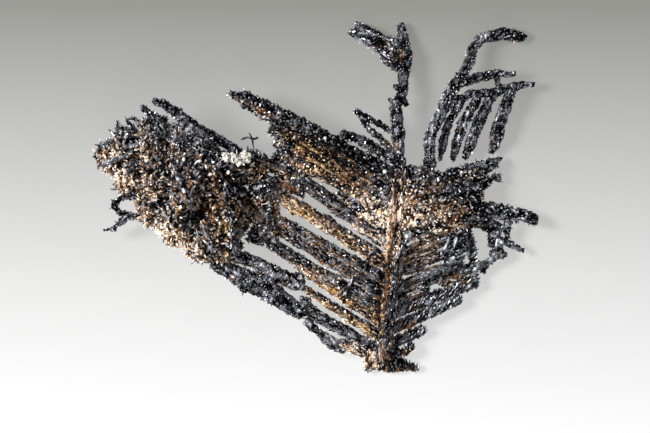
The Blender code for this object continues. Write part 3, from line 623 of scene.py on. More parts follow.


# Finishes. A patch of stain, of darker crystals or of lighter ones is (x, y, half length, half width, turn in
# degrees, strength), in millimetres.

RUST_PATCHES = (
    (3.2, 4.4, 9.0, 3.4, -32, 0.72),
    (-8.7, 13.8, 2.2, 0.8, -28, 0.8),
    (-2.7, -1.8, 5.8, 2.8, -31, 0.6),
    (-2.4, 5.6, 3.6, 2.8, -30, 0.75),
    (17.5, 1.8, 5.2, 2.4, 10, 0.5),
    (-15.2, -2.4, 3.8, 4.8, 0, 0.55),
    (21.6, -2.4, 5.0, 2.6, 8, 0.7),
    (11.3, -8.5, 9.5, 0.7, 84, 0.9),
    (21.6, -13.2, 3.8, 1.1, 0, 0.95),
    (17.0, -9.0, 3.6, 2.4, 20, 0.9),
    (15.4, -14.0, 2.4, 4.5, 0, 0.5),
    (-9.1, -1.3, 3.0, 4.0, 0, 0.6),
    (-5.8, -3.0, 2.0, 5.4, 0, 0.8),
    (2.0, 0.3, 6.5, 1.2, -31, 0.6),
    (-5.0, 1.7, 2.6, 1.5, -20, 0.9),
    (10.6, 24.5, 2.4, 0.8, -27, 1.1),
    (12.7, 22.4, 1.5, 1.4, 0, 0.9),
    (14.6, -20.9, 2.2, 1.2, 20, 1.1),
    (9.4, -18.0, 1.3, 2.6, 0, 0.8),
    (11.5, 8.8, 1.2, 1.2, 0, 0.8),
    (2.0, -10.0, 12.0, 7.5, -31, 0.5),
    (-24.3, 2.7, 9.0, 7.0, 0, 0.2),
)
GOLD_PATCHES = (
    (3.2, -15.0, 2.4, 0.8, -31, 0.95),
    (-3.0, 8.6, 3.2, 1.3, -24, 0.75),
    (-1.9, -2.7, 1.8, 0.8, -20, 0.8),
    (-6.7, -5.3, 1.8, 0.9, -31, 0.8),
    (6.9, -20.5, 2.8, 0.6, -33, 0.8),
    (-8.3, 4.2, 1.9, 1.1, 0, 0.6),
    (-14.7, -5.6, 1.6, 1.6, 0, 0.6),
    (-10.8, 0.2, 2.4, 1.2, -30, 0.55),
    (-6.2, -1.6, 1.8, 1.0, -30, 0.5),
    (1.5, 5.0, 6.5, 2.4, -32, 0.4),
)
# Patches of cream-white silver: partly its own colour, partly painted highlight and warm light on the clump's
# left and lower edges.
BRIGHT_PATCHES = (
    (-33.1, 6.7, 1.9, 1.9, 0, 0.5),
    (-30.6, 2.4, 3.0, 1.5, -55, 0.75),
    (-22.4, -7.0, 5.6, 1.6, -28, 0.85),
    (14.4, -2.4, 2.5, 4.2, 0, 1.35),
    (10.9, -6.9, 2.2, 3.2, 0, 0.9),
    (8.6, -3.2, 3.4, 4.0, -30, 0.9),
    (21.0, -5.0, 3.2, 1.4, 8, 1.05),
    (13.2, 3.6, 1.8, 1.4, 0, 0.4),
    (7.2, -25.3, 3.2, 1.6, -30, 0.85),
    (-27.0, 5.0, 8.0, 6.0, -40, 0.1),
    (17.6, -2.4, 4.4, 3.4, 0, 0.8),
    (24.5, 3.6, 2.2, 0.9, 20, 0.7),
    (16.8, -7.8, 3.2, 1.6, 20, 0.75),
)
LIGHT_PATCHES = (
    (18.5, -13.5, 7.0, 6.5, 20, 0.8),
    (12.0, -2.0, 4.0, 5.0, 0, 0.5),
    (4.0, -10.0, 9.0, 6.0, -31, 0.25),
    (-9.0, -12.0, 7.5, 2.8, -31, 0.5),
    (-0.5, -19.0, 5.0, 2.0, -31, 0.4),
    (9.5, 23.8, 4.2, 0.8, -30, 0.5),
    (-6.9, -2.5, 2.0, 5.5, 0, 0.5),
    (-19.1, 8.9, 5.0, 1.7, -38, 0.8),
    (-10.2, -10.2, 2.6, 1.2, -35, 0.9),
    (2.7, -22.6, 2.0, 1.0, -50, 1.3),
)
# Patches where the crystals are darker: partly darker tarnish, partly painted shade, as down the stem's lower
# half.
DARK_PATCHES = (
    (-1.1, 11.7, 14.5, 1.5, -26, 0.4),
    (3.0, 7.0, 9.0, 4.0, -30, 1.1),
    (-15.0, 2.0, 3.6, 6.0, 0, 0.6),
    (-9.1, 4.6, 2.4, 2.0, 0, 0.2),
    (26.6, -1.6, 2.0, 6.0, 0, 0.4),
    (13.8, 16.0, 1.8, 9.0, 0, 0.5),
    (14.6, -25.6, 3.0, 2.2, 0, 0.8),
    (11.0, -15.0, 1.8, 6.5, -8, 0.8),
    (12.6, 2.8, 1.8, 2.2, 0, 0.6),
    (9.2, 25.1, 3.2, 0.4, -27, 0.5),
    (-10.5, 15.2, 3.0, 2.0, -28, 0.35),
)

BLACK = (0.0, 0.0, 0.0)
WHITE = (1.0, 1.0, 1.0)
PATCH_RIM = 1.5  # where a patch ends, in half sizes from its middle
PATCH_HEART = 0.2  # inside this it has its full strength
WANDER = (3.0, 3.0, 0.0)  # how far the patches' edges wander, in millimetres
WANDER_NOISE = (0.55, 3.0)  # scale and detail
STREAK_NOISE = (1.6, 2.0)
CLUSTER_NOISE = (1.3, 2.0)
SPECKLE_NOISE = (6.0, 3.0)
STREAK_LENGTH = 0.75  # how much the streaks are drawn out along a branch
DICE = 917.0  # spreads the crystals' numbers before they are drawn from
LIGHT_OF = {TIP: 0.8, GRAIN: 0.65, FACET: 0.32}  # how much each attribute lightens a crystal; through the tip, roots and clefts get painted shade
STREAK_LIGHT = 0.5  # how much a streak does
BASE_LIGHT = -0.76  # what all crystals have before that
DARK_PATCH = -0.3  # what a dark patch of full strength adds
LIGHT_PATCH = 0.16  # what a light patch of full strength adds
CLUSTERED = 1.8  # how much the clusters decide whether a stain takes a crystal
LUCK = 0.9  # how much a crystal's own number decides it
PAINTED_WARM_LIGHT_SHARE = -0.25  # how much more easily a stain takes on faces towards the lower left, as painted warm light
LEAST_LUCK = -0.95  # what the clusters and the numbers are added to
ROUGHNESS = 0.43
SPECKLE_ROUGHNESS = 0.3  # how much rougher the speckles are
STAIN_ROUGHNESS = 0.16  # how much rougher rust and cream-white silver are
STAIN_METAL = 0.45  # how much less of them is metal


def patch_group():
    """How far a point lies inside one patch, of stain or of darker or lighter crystals: 1 in its middle, 0
    outside.
    """
    found = bpy.data.node_groups.get("specimen_patch")
    if found:
        return found
    tree, given, result = new_tree("specimen_patch", "ShaderNodeTree", {
        "Place": "Vector", "Centre": "Vector", "Half size": "Vector", "Turn": "Float",
        "Strength": "Float", "Other patches": "Float",
    }, {"Stain": "Float"})
    away = vector_maths(tree, "SUBTRACT", given["Place"], given["Centre"])
    turn = maths(tree, "MULTIPLY", given["Turn"], -1.0)
    turned = put(tree, "ShaderNodeVectorRotate", {"Vector": away, "Angle": turn}, rotation_type="Z_AXIS")
    scaled = vector_maths(tree, "DIVIDE", turned.outputs[0], given["Half size"])
    inside = put(tree, "ShaderNodeMapRange", {
        "Value": vector_maths(tree, "LENGTH", scaled, output="Value"),
        "From Min": PATCH_RIM, "From Max": PATCH_HEART, "To Min": 0.0, "To Max": 1.0,
    }, interpolation_type="SMOOTHSTEP").outputs[0]
    stained = maths(tree, "MULTIPLY", inside, given["Strength"])
    tree.links.new(maths(tree, "MAXIMUM", stained, given["Other patches"]), result["Stain"])
    return tree


def stain(tree, place, patches):
    """How far a point lies inside any of the patches."""
    value = 0.0
    for x, y, half_length, half_width, turn, strength in patches:
        value = put(tree, "ShaderNodeGroup", {
            "Place": place, "Centre": (x, y, 0.0), "Half size": (half_length, half_width, 1.0),
            "Turn": math.radians(turn), "Strength": strength, "Other patches": value,
        }, node_tree=patch_group()).outputs[0]
    return value


def ramp(tree, factor, stops):
    """A colour ramp through (position, colour) stops."""
    node = put(tree, "ShaderNodeValToRGB", {0: factor})
    elements = node.color_ramp.elements
    while len(elements) < len(stops):
        elements.new(0.5)
    for element, (position, shade) in zip(elements, stops):
        element.position = position
        element.color = (*shade, 1.0)
    return node.outputs[0]


def mix_shades(one, other, share):
    return tuple(a + (b - a) * share for a, b in zip(one, other))


def mark(tree, name, output="Fac"):
    """What an attribute says, in a shader tree."""
    return put(tree, "ShaderNodeAttribute", attribute_name=name).outputs[output]


def crystal_light(tree, given, flat, streaked):
    """How light a crystal is: 0 at its stain's darkest shade, 1 at the palest. Roots, clefts and, in part,
    the dark patches hold painted shade.
    """
    light = 0.0
    for name, weight in LIGHT_OF.items():
        light = maths(tree, "MULTIPLY_ADD", mark(tree, name), weight, light)
    streaks = noise(tree, streaked, *STREAK_NOISE)[0]
    light = maths(tree, "MULTIPLY_ADD", streaks, STREAK_LIGHT, light)
    light = maths(tree, "ADD", light, BASE_LIGHT)
    for patches, weight in ((DARK_PATCHES, DARK_PATCH), (LIGHT_PATCHES, LIGHT_PATCH)):
        light = maths(tree, "MULTIPLY_ADD", stain(tree, flat, patches), weight, light)
    light = maths(tree, "ADD", light, mark(tree, SHINE))
    return maths(tree, "ADD", light, given["Lighter"], clamp=True)


def silver_shades(tree, light):
    """The colours of bare tarnish and of the rusty, golden and bright stains at a lightness."""
    shades = bpy.context.scene.specimen_finish
    ramps = (
        ((0.12, shades.black), (0.35, mix_shades(shades.black, shades.steel, 0.3)),
         (0.55, shades.steel), (0.8, mix_shades(shades.steel, shades.pale, 0.4)),
         (1.0, mix_shades(shades.steel, shades.pale, 0.75))),
        ((0.1, shades.black), (0.28, mix_shades(shades.umber, shades.rust, 0.6)),
         (0.48, mix_shades(shades.rust, shades.tan, 0.1)), (0.8, shades.tan), (1.0, shades.cream)),
        ((0.1, shades.black), (0.3, mix_shades(shades.umber, shades.amber, 0.5)), (0.52, shades.amber),
         (0.8, shades.straw), (1.0, shades.cream)),
        ((0.08, shades.umber), (0.24, shades.rust), (0.4, shades.tan), (0.58, shades.cream),
         (0.9, mix_shades(shades.cream, WHITE, 0.7))),
    )
    return [ramp(tree, light, stops) for stops in ramps]


def silver_group():
    """Colour, roughness, metal and height of tarnished silver: one shade to a crystal, by patch."""
    found = bpy.data.node_groups.get("specimen_silver")
    if found:
        return found
    tree, given, result = new_tree("specimen_silver", "ShaderNodeTree", {
        "More rust": "Float", "More gold": "Float", "More bright": "Float", "Lighter": "Float",
    }, {"Colour": "Color", "Roughness": "Float", "Metal": "Float", "Height": "Float"})
    metres = put(tree, "ShaderNodeTexCoord").outputs["Object"]
    place = vector_maths(tree, "SCALE", metres, scale=1.0 / MM)
    flat = vector_maths(tree, "MULTIPLY", place, (1.0, 1.0, 0.0))
    wander = vector_maths(tree, "SUBTRACT", noise(tree, place, *WANDER_NOISE)["Color"], MIDDLE)
    flat = vector_maths(tree, "ADD", flat, vector_maths(tree, "MULTIPLY", wander, WANDER))
    streaked = drawn_out(tree, place, mark(tree, ALONG, "Vector"), STREAK_LENGTH)
    light = crystal_light(tree, given, flat, streaked)

    clusters = noise(tree, streaked, *CLUSTER_NOISE)["Color"]
    clusters = put(tree, "ShaderNodeSeparateColor", {0: clusters}).outputs
    spread = maths(tree, "MULTIPLY", mark(tree, GRAIN), DICE)
    dice = put(tree, "ShaderNodeTexWhiteNoise", {"W": spread}, noise_dimensions="1D")
    dice = put(tree, "ShaderNodeSeparateColor", {0: dice.outputs["Color"]}).outputs
    weather = mark(tree, PAINTED_WARM_LIGHT)

    shade, *stained_shades = silver_shades(tree, light)
    taken = []
    stains = ((RUST_PATCHES, "More rust"), (GOLD_PATCHES, "More gold"), (BRIGHT_PATCHES, "More bright"))
    for number, (patches, more) in enumerate(stains):
        luck = maths(tree, "MULTIPLY_ADD", clusters[number], CLUSTERED, LEAST_LUCK)
        luck = maths(tree, "MULTIPLY_ADD", dice[number], LUCK, luck)
        # Faces towards the lower left take the stains more easily: painted warm light from that side.
        luck = maths(tree, "MULTIPLY_ADD", weather, PAINTED_WARM_LIGHT_SHARE, luck)
        strength = maths(tree, "ADD", stain(tree, flat, patches), given[more])
        taken.append(maths(tree, "GREATER_THAN", strength, luck))
        # A Mix node's inputs 6 and 7 and its output 2 are its colours.
        shade = put(tree, "ShaderNodeMix", {0: taken[-1], 6: shade, 7: stained_shades[number]},
                    data_type="RGBA").outputs[2]
    tree.links.new(shade, result["Colour"])

    speckle = noise(tree, place, *SPECKLE_NOISE)[0]
    dull = maths(tree, "MAXIMUM", taken[0], taken[2])
    rough = maths(tree, "MULTIPLY_ADD", speckle, SPECKLE_ROUGHNESS, ROUGHNESS)
    rough = maths(tree, "MULTIPLY_ADD", dull, STAIN_ROUGHNESS, rough)
    metal = maths(tree, "SUBTRACT", 1.0, maths(tree, "MULTIPLY", dull, STAIN_METAL))
    tree.links.new(rough, result["Roughness"])
    tree.links.new(metal, result["Metal"])
    tree.links.new(speckle, result["Height"])
    return tree


def new_material(name):
    """A material, with its tree and its shader."""
    material = bpy.data.materials.new(name)
    material.use_nodes = True
    return material, material.node_tree, material.node_tree.nodes["Principled BSDF"]


# How much more of each stain a finish has than the patches give it, and how much lighter it is. The first two
# are for small pieces alone.
FINISHES = {
    "silver_clean": {"More rust": -3.0, "More gold": -3.0, "More bright": -3.0, "Lighter": 0.0},
    "silver_brown": {"More rust": 0.5, "More gold": -0.4, "More bright": -3.0, "Lighter": 0.03},
    "silver_tarnished": {"More rust": -0.3, "More gold": -0.5, "More bright": -0.45, "Lighter": 0.03},
    "silver_rusty": {"More rust": -0.2, "More gold": -0.12, "More bright": -0.25, "Lighter": 0.02},
    "silver_golden": {"More rust": 0.12, "More gold": 0.0, "More bright": -0.1, "Lighter": 0.06},
    "silver_bright": {"More rust": 0.05, "More gold": -0.1, "More bright": -0.16, "Lighter": 0.04},
}
BUMP_STRENGTH = 0.5
BUMP_HEIGHT = 0.03 * MM
CALCITE_ROUGHNESS = 0.55


def silver(name):
    """Tarnished silver with the stains of one of the finishes."""
    material, tree, shader = new_material(f"{name}_finish")
    group = put(tree, "ShaderNodeGroup", FINISHES[name], node_tree=silver_group()).outputs
    bump = put(tree, "ShaderNodeBump", {
        "Strength": BUMP_STRENGTH, "Distance": BUMP_HEIGHT, "Height": group["Height"],
    })
    tree.links.new(group["Colour"], shader.inputs["Base Color"])
    tree.links.new(group["Roughness"], shader.inputs["Roughness"])
    tree.links.new(group["Metal"], shader.inputs["Metallic"])
    tree.links.new(bump.outputs[0], shader.inputs["Normal"])
    return material


def calcite():
    """White grains with a little grey dust between them."""
    material, tree, shader = new_material("calcite_finish")
    shade = bpy.context.scene.specimen_finish.calcite
    tree.links.new(ramp(tree, mark(tree, FACET), (
        (0.0, mix_shades(BLACK, shade, 0.35)), (0.4, mix_shades(BLACK, shade, 0.8)),
        (1.0, mix_shades(shade, WHITE, 0.5)),
    )), shader.inputs["Base Color"])
    shader.inputs["Roughness"].default_value = CALCITE_ROUGHNESS
    return material


def finish_for(name):
    """The material of a finish, made when it is first asked for."""
    found = bpy.data.materials.get(f"{name}_finish")
    if found:
        return found
    return calcite() if name == "calcite" else silver(name)


# Small pieces, which lie on the specimen. A wire is (finish, width, thickness, shine, points). Strands and
# twigs are crusted wires, each kind with one shine. Lumps are (finish, shine, layers, places), and a place is
# (x, y, width, depth, turn). Everything is in millimetres and degrees.

STRAND_LAYERS = (Layer("fibres", 0.9, 1.0, 0.5, 0.9, 1.0, 0.2, 3.0, 0.1, 0.05),)
TWIG_LAYERS = (Layer("chips", 1.0, 1.0, 0.7, 1.4, 1.0, 1.3, 0.3, 0.1, -0.05),)
LUMP_LAYERS = (Layer("grains", 0.9, 1.0, 0.45, 0.8, 0.8, 0.5, 0.0, 0.15, 0.0),)
WIRES = {
    "bent_band": ("silver_clean", 0.75, 0.6, -0.12,
                  ((10.1, -8.5), (9.1, -8.8), (8.3, -9.6), (8.0, -10.8), (8.1, -12.2))),
    "frayed_wire_1": ("silver_clean", 0.4, 0.35, -0.08,
                      ((7.2, -11.4), (6.2, -13.0), (5.1, -14.6), (3.7, -16.5))),
    "frayed_wire_2": ("silver_clean", 0.4, 0.35, -0.15,
                      ((7.2, -12.4), (5.9, -13.5), (4.8, -15.4), (4.1, -17.2))),
    "frayed_wire_3": ("silver_clean", 0.3, 0.25, 0.1,
                      ((5.9, -12.2), (5.4, -13.9), (4.3, -14.6), (3.2, -16.0))),
    "short_rod": ("silver_bright", 0.45, 0.4, 0.1, ((6.4, -17.6), (7.3, -17.9), (8.2, -18.2))),
    "clump_wire_2": ("silver_bright", 0.35, 0.3, 0.3, ((-23.1, 8.9), (-22.2, 8.2), (-21.4, 7.5))),
    "clump_wire_3": ("silver_clean", 0.35, 0.3, 0.1, ((-30.4, 3.6), (-29.7, 4.4), (-29.1, 5.1))),
    "hook_twig": ("silver_clean", 0.28, 0.25, -0.05,
                  ((-10.1, 7.3), (-10.3, 8.6), (-10.5, 9.6), (-11.0, 10.4))),
    "hook_leaf": ("silver_clean", 0.42, 0.25, -0.1,
                  ((-12.2, 9.2), (-11.2, 9.6), (-10.2, 9.3), (-9.4, 9.6))),
    "lattice_blade_1": ("silver_clean", 0.8, 0.5, 0.1, ((21.4, -6.2), (20.8, -7.8), (19.9, -9.4))),
    "lattice_blade_2": ("silver_clean", 0.9, 0.5, 0.1, ((23.4, -5.1), (22.6, -6.4), (21.9, -8.4))),
    "lattice_blade_3": ("silver_clean", 0.7, 0.5, 0.0, ((24.6, -5.4), (24.2, -7.6), (24.5, -9.8))),
    "lattice_blade_4": ("silver_clean", 0.6, 0.4, 0.1, ((20.3, -11.2), (19.9, -12.8), (19.6, -14.2))),
    "edge_blade": ("silver_clean", 0.5, 0.3, 0.35, ((29.8, -4.8), (29.1, -6.9), (28.5, -9.3))),
    "edge_leaf": ("silver_clean", 0.8, 0.3, 0.25, ((29.4, -7.0), (31.2, -7.9), (33.0, -8.7))),
    "edge_feather": ("silver_clean", 1.1, 0.4, 0.3,
                     ((25.1, -11.8), (26.7, -10.7), (28.3, -10.0), (29.8, -9.4))),
}
STRANDS = {
    "strand_1": ("silver_bright", 0.55, 0.5, ((13.9, -8.6), (16.0, -7.5), (18.0, -6.6), (19.8, -6.0))),
    "strand_2": ("silver_tarnished", 0.5, 0.45, ((13.9, -9.8), (16.4, -8.8), (18.2, -7.8), (19.8, -7.2))),
    "strand_3": ("silver_bright", 0.55, 0.5, ((13.9, -10.7), (15.8, -9.9), (17.8, -9.3), (19.4, -8.5))),
    "strand_4": ("silver_tarnished", 0.55, 0.5, ((14.0, -11.7), (16.0, -11.0), (17.6, -10.2), (19.2, -9.8))),
    "strand_5": ("silver_golden", 0.5, 0.45, ((14.0, -12.5), (15.8, -11.9), (17.6, -11.5), (19.4, -10.9))),
    "strand_6": ("silver_tarnished", 0.8, 0.6, ((13.7, -13.5), (16.6, -12.6), (20.6, -11.0), (23.8, -9.4))),
    "strand_7": ("silver_tarnished", 0.7, 0.6, ((13.5, -15.1), (15.4, -14.4), (17.2, -13.9))),
    "strand_8": ("silver_tarnished", 0.7, 0.6, ((13.2, -16.4), (15.0, -15.6), (16.8, -14.9), (18.4, -13.9))),
    "blade_ridge_1": ("silver_rusty", 0.7, 0.5, ((-2.4, 8.6), (2.6, 5.9), (7.0, 3.3), (10.4, 1.0))),
    "blade_ridge_2": ("silver_golden", 0.6, 0.4, ((-3.4, 7.2), (1.2, 4.8), (5.8, 2.0), (9.6, -0.6))),
    "blade_ridge_3": ("silver_rusty", 0.6, 0.4, ((-0.8, 9.6), (4.4, 6.7), (8.8, 4.0), (11.4, 2.4))),
    "crust_ridge": ("silver_golden", 0.7, 0.5, ((-9.6, 6.1), (-7.4, 5.0), (-5.0, 4.0), (-3.2, 3.4))),
    "head_rib_1": ("silver_clean", 0.6, 0.5, ((6.1, 27.6), (9.2, 26.3), (12.2, 25.1))),
    "head_rib_2": ("silver_clean", 0.7, 0.5, ((5.4, 26.5), (8.0, 25.1), (10.4, 23.4), (12.4, 22.0))),
    "stem_ridge": ("silver_brown", 0.8, 0.5,
                   ((12.2, 2.0), (12.3, -1.5), (12.2, -4.0), (11.8, -6.4), (11.5, -10.1), (11.2, -16.5),
                    (10.9, -20.5))),
    "stem_rod": ("silver_clean", 0.9, 0.7,
                 ((13.7, -7.6), (12.9, -10.4), (12.3, -14.1), (11.5, -18.1), (11.0, -22.1), (10.7, -24.0))),
    "clump_rod_1": ("silver_tarnished", 0.9, 0.7, ((-22.8, 4.8), (-21.6, 2.2), (-20.6, 0.2), (-19.8, -2.6))),
    "clump_rod_2": ("silver_clean", 0.8, 0.7,
                    ((-14.2, 3.2), (-14.5, 1.1), (-14.2, -1.3), (-13.7, -3.7), (-13.4, -6.4), (-13.1, -8.8))),
    "clump_rod_3": ("silver_tarnished", 0.7, 0.6, ((-18.2, -4.2), (-17.4, -6.6), (-16.8, -8.6))),
    "clump_rod_4": ("silver_clean", 0.8, 0.7, ((-34.9, 4.9), (-33.6, 5.4), (-32.4, 5.8), (-31.2, 6.4))),
    "plate_1": ("silver_tarnished", 1.5, 0.6, ((-24.6, 10.0), (-22.6, 9.1), (-20.8, 8.4), (-19.4, 7.6))),
    "plate_2": ("silver_tarnished", 1.7, 0.6, ((-22.4, 12.0), (-20.2, 10.9), (-18.0, 9.3), (-15.4, 6.9))),
    "plate_3": ("silver_tarnished", 1.5, 0.6, ((-19.4, 8.8), (-17.8, 7.6), (-16.2, 6.3))),
}
TWIGS = {
    "loop_crust": ("silver_clean", 0.7, 0.5,
                   ((-28.4, 0.1), (-30.1, 0.3), (-31.9, -0.3), (-32.7, -1.4), (-32.2, -2.3))),
    "tail_crust": ("silver_clean", 0.6, 0.5, ((-28.6, -3.0), (-30.3, -3.0), (-31.5, -4.0), (-32.6, -4.8))),
    "clump_twig_1": ("silver_clean", 0.4, 0.4, ((-31.7, 10.2), (-32.0, 11.2), (-31.9, 12.3))),
    "clump_twig_2": ("silver_clean", 0.5, 0.4,
                     ((-28.9, 10.4), (-29.8, 11.6), (-30.6, 12.4), (-29.2, 12.5), (-28.0, 11.6))),
    "edge_knob_1": ("silver_clean", 1.7, 1.3, ((-10.9, -13.2), (-11.5, -14.3), (-11.9, -15.2))),
    "edge_knob_2": ("silver_clean", 1.5, 1.2, ((-6.6, -15.4), (-7.1, -16.3), (-7.5, -17.1))),
    "edge_knob_3": ("silver_clean", 1.3, 1.1, ((-2.4, -17.9), (-2.7, -18.6), (-3.0, -19.3))),
}
STRAND_SHINE = 0.1
TWIG_SHINE = -0.05
LUMPS = {
    "grey_lumps": ("silver_clean", -0.12, LUMP_LAYERS, (
        (-8.6, 1.5, 2.6, 2.8, 10), (17.1, -14.4, 2.0, 1.8, 10), (-21.6, 8.0, 2.6, 1.3, -35),
        (-18.4, 7.8, 2.4, 1.5, -30), (-16.6, 6.8, 1.8, 1.2, -30), (10.0, 12.0, 0.9, 1.0, 0),
    )),
    "dark_lumps": ("silver_clean", -0.08, LUMP_LAYERS, (
        (6.4, -1.6, 2.0, 1.6, -20), (16.2, -4.0, 0.9, 1.2, 10), (9.4, -7.3, 0.9, 0.9, 0),
        (10.6, -5.4, 0.8, 1.0, 0),
    )),
    "pale_chunks": ("silver_clean", 0.45, (), (
        (14.5, -6.4, 1.6, 2.0, -20),
    )),
    "white_grains": ("calcite", 0.0, (), (
        (10.8, 4.1, 0.8, 0.8, 30), (1.3, 9.4, 0.6, 0.6, 0), (13.0, 7.2, 0.6, 0.5, 0),
        (24.5, 4.0, 0.8, 0.5, 40), (-21.2, 6.0, 0.6, 0.8, 0), (-18.7, 5.7, 0.8, 0.6, 0),
        (-17.6, 4.8, 0.6, 0.8, 0), (-16.9, 3.6, 0.9, 0.6, 30), (-10.4, 0.6, 0.4, 0.5, 0),
        (-14.1, 3.9, 0.6, 0.8, 0), (-4.6, 5.1, 0.5, 0.4, 0),
    )),
}

WIRE_STEP = 0.3 * MM  # between two rings of a wire
LEAST_STEPS = 6
WIRE_SIDES = 6
WIRE_RISE = 0.2  # how far a wire's middle is above what it lies on, in thicknesses
WIRE_RELIEF = 0.06
WIRE_END = 0.35  # how wide a wire still is at its ends
WIRE_TAPER = 4.0  # how fast it widens from there, in widths over its whole length
UNEVEN = (0.8, 1.15)  # the range that a wire's width varies in
SMALL_LUMP = 1.2  # a lump under this width has fewer faces
LUMPY = (0.8, 1.1)  # the range that a lump's corners vary in
LUMP_RELIEF = 0.1
LUMP_HEIGHT = 0.6  # a lump's height, in widths
LUMP_RISE = 0.05  # how far its middle is above what it lies on, in widths
PROBE = 0.3  # how far from a lump's middle the ground's height is taken, in widths
CORE_LUMP = 0.4 * MM  # the width of the lumps on a small piece's own surface
CORE_SHRINK = 0.6  # how much they are drawn out along it
SMALL_SEED = 1
RAY_HEIGHT = 0.1  # in metres, above everything


def top_at(x, y):
    """The height of the highest thing at a place, or nothing."""
    depsgraph = bpy.context.evaluated_depsgraph_get()
    cast = bpy.context.scene.ray_cast(depsgraph, (x, y, RAY_HEIGHT), (0.0, 0.0, -1.0))
    return cast[1].z if cast[0] else None


def through(points, share):
    """A point on the smooth curve through the points."""
    spot = share * (len(points) - 1)
    index = min(int(spot), len(points) - 2)
    near = [points[min(max(index + step, 0), len(points) - 1)] for step in (-1, 0, 1, 2)]
    part = spot - index
    return (near[1] * 2 + (near[2] - near[0]) * part
            + (near[0] * 2 - near[1] * 5 + near[2] * 4 - near[3]) * part ** 2
            + (near[1] * 3 - near[0] - near[2] * 3 + near[3]) * part ** 3) / 2


def laid_route(points, thickness):
    """The smooth route of a wire that lies on whatever is under it."""
    flat = [Vector((x, y, 0.0)) * MM for x, y in points]
    reach = sum((two - one).length for one, two in zip(flat, flat[1:]))
    steps = max(int(reach / WIRE_STEP), LEAST_STEPS)
    route = [through(flat, step / steps) for step in range(steps + 1)]
    heights = [top_at(spot.x, spot.y) for spot in route]
    lowest = min(height for height in heights if height is not None)
    heights = [max(height or 0.0, lowest) for height in heights]
    for index, spot in enumerate(route):
        near = [max(heights[max(other - 1, 0):other + 2])
                for other in range(max(index - 2, 0), min(index + 3, steps + 1))]
        spot.z = sum(near) / len(near) + WIRE_RISE * thickness * MM
    return route


def wire(name, finish, width, thickness, shine, points, layers=()):
    """A flat wire or rod that lies on the specimen, a little uneven and narrower at its ends."""
    draw = random.Random(name)
    route = laid_route(points, thickness)
    steps = len(route) - 1
    turns = [TAU * (corner + 0.5) / WIRE_SIDES for corner in range(WIRE_SIDES)]
    made = bmesh.new()
    rings = []
    for index, spot in enumerate(route):
        ahead = (route[min(index + 1, steps)] - route[max(index - 1, 0)]).normalized()
        side = ahead.cross(Vector((0.0, 0.0, 1.0))).normalized()
        up = side.cross(ahead)
        share = index / steps
        end = min(1.0, WIRE_TAPER * share + WIRE_END, WIRE_TAPER * (1.0 - share) + WIRE_END)
        across = side * width * MM / 2 * end * draw.uniform(*UNEVEN)
        tall = up * thickness * MM / 2 * end * draw.uniform(*UNEVEN)
        rings.append([made.verts.new(spot + across * math.cos(turn) + tall * math.sin(turn))
                      for turn in turns])
    skin(made, rings)
    small_piece(name, made, finish, shine, WIRE_RELIEF, (route[-1] - route[0]).normalized(), layers)


def lumps(name, finish, shine, layers, places):
    """Rough lumps that sit on whatever is under them, as one piece."""
    draw = random.Random(name)
    joined = bmesh.new()
    for x, y, width, depth, turn in places:
        least = min(width, depth)
        made = bmesh.ops.create_icosphere(
            joined, subdivisions=1 if max(width, depth) < SMALL_LUMP else 2, radius=0.5)
        probes = [top_at((x + PROBE * least * step) * MM, (y + PROBE * least * other) * MM)
                  for step in (-1, 0, 1) for other in (-1, 1)]
        height = sorted(probe or 0.0 for probe in probes)[-2]
        place = Matrix.Translation((x * MM, y * MM, height + LUMP_RISE * least * MM))
        place = place @ Matrix.Rotation(math.radians(turn), 4, "Z")
        place = place @ Matrix.Diagonal((width * MM, depth * MM, LUMP_HEIGHT * least * MM, 1.0))
        for vert in made["verts"]:
            vert.co = place @ (vert.co * draw.uniform(*LUMPY))
    small_piece(name, joined, finish, shine, LUMP_RELIEF, layers=layers)


def small_piece(name, made, finish_name, shine, relief, along=(0.0, 0.0, 0.0), layers=()):
    """A loose piece with its own finish, on the specimen's body."""
    mesh = mesh_of(name, made)
    for number in mesh.attributes.new(SHINE, "FLOAT", "POINT").data:
        number.value = shine
    piece = bpy.data.objects.new(name, mesh)
    bpy.context.scene.collection.objects.link(piece)
    finish = finish_for(finish_name)
    grow(piece, "specimen_core", {
        "Inset": 0.0, "Relief": relief * MM, "Lump": CORE_LUMP, "Shrink along": CORE_SHRINK,
        "Along": tuple(along), "Finish": finish,
    })
    grow_layers(piece, layers, along, finish)
    settle(piece, SMALL_SEED, tuple(along), finish)
    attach(piece, BODY)


# Operators, one for each group of like pieces


def slope(degrees, side=1):
    """The direction of a rib that climbs at an angle to the right, or to the left (side -1)."""
    return (side * math.cos(math.radians(degrees)), math.sin(math.radians(degrees)), 0.0)


class SPECIMEN_OT_clump(bpy.types.Operator):
    """Grow the leafy clump, its rods and its side twig"""

    bl_idname = "specimen.clump"
    bl_label = "Leafy clump"

    def execute(self, context):
        crusted("leaf_clump", "leafy")
        crusted("clump_rod_long", "twig", slope(30, -1))
        crusted("clump_rod_short", "twig", slope(30, -1))
        crusted("side_twig", "twig", (-0.6, -0.6, 0.0))
        crusted("calcite_patch", "calcite")
        return {"FINISHED"}


class SPECIMEN_OT_stem(bpy.types.Operator):
    """Grow the central stem with its foot"""

    bl_idname = "specimen.stem"
    bl_label = "Central stem"

    def execute(self, context):
        crusted("central_stem", "ribs", (0.0, 1.0, 0.0))
        return {"FINISHED"}


class SPECIMEN_OT_sheets(bpy.types.Operator):
    """Grow the blade above the left ribs and the wing on the right"""

    bl_idname = "specimen.sheets"
    bl_label = "Blade and wing"

    def execute(self, context):
        crusted("upper_blade", "blocky", slope(30, -1))
        crusted("right_wing", "dark", slope(8))
        return {"FINISHED"}


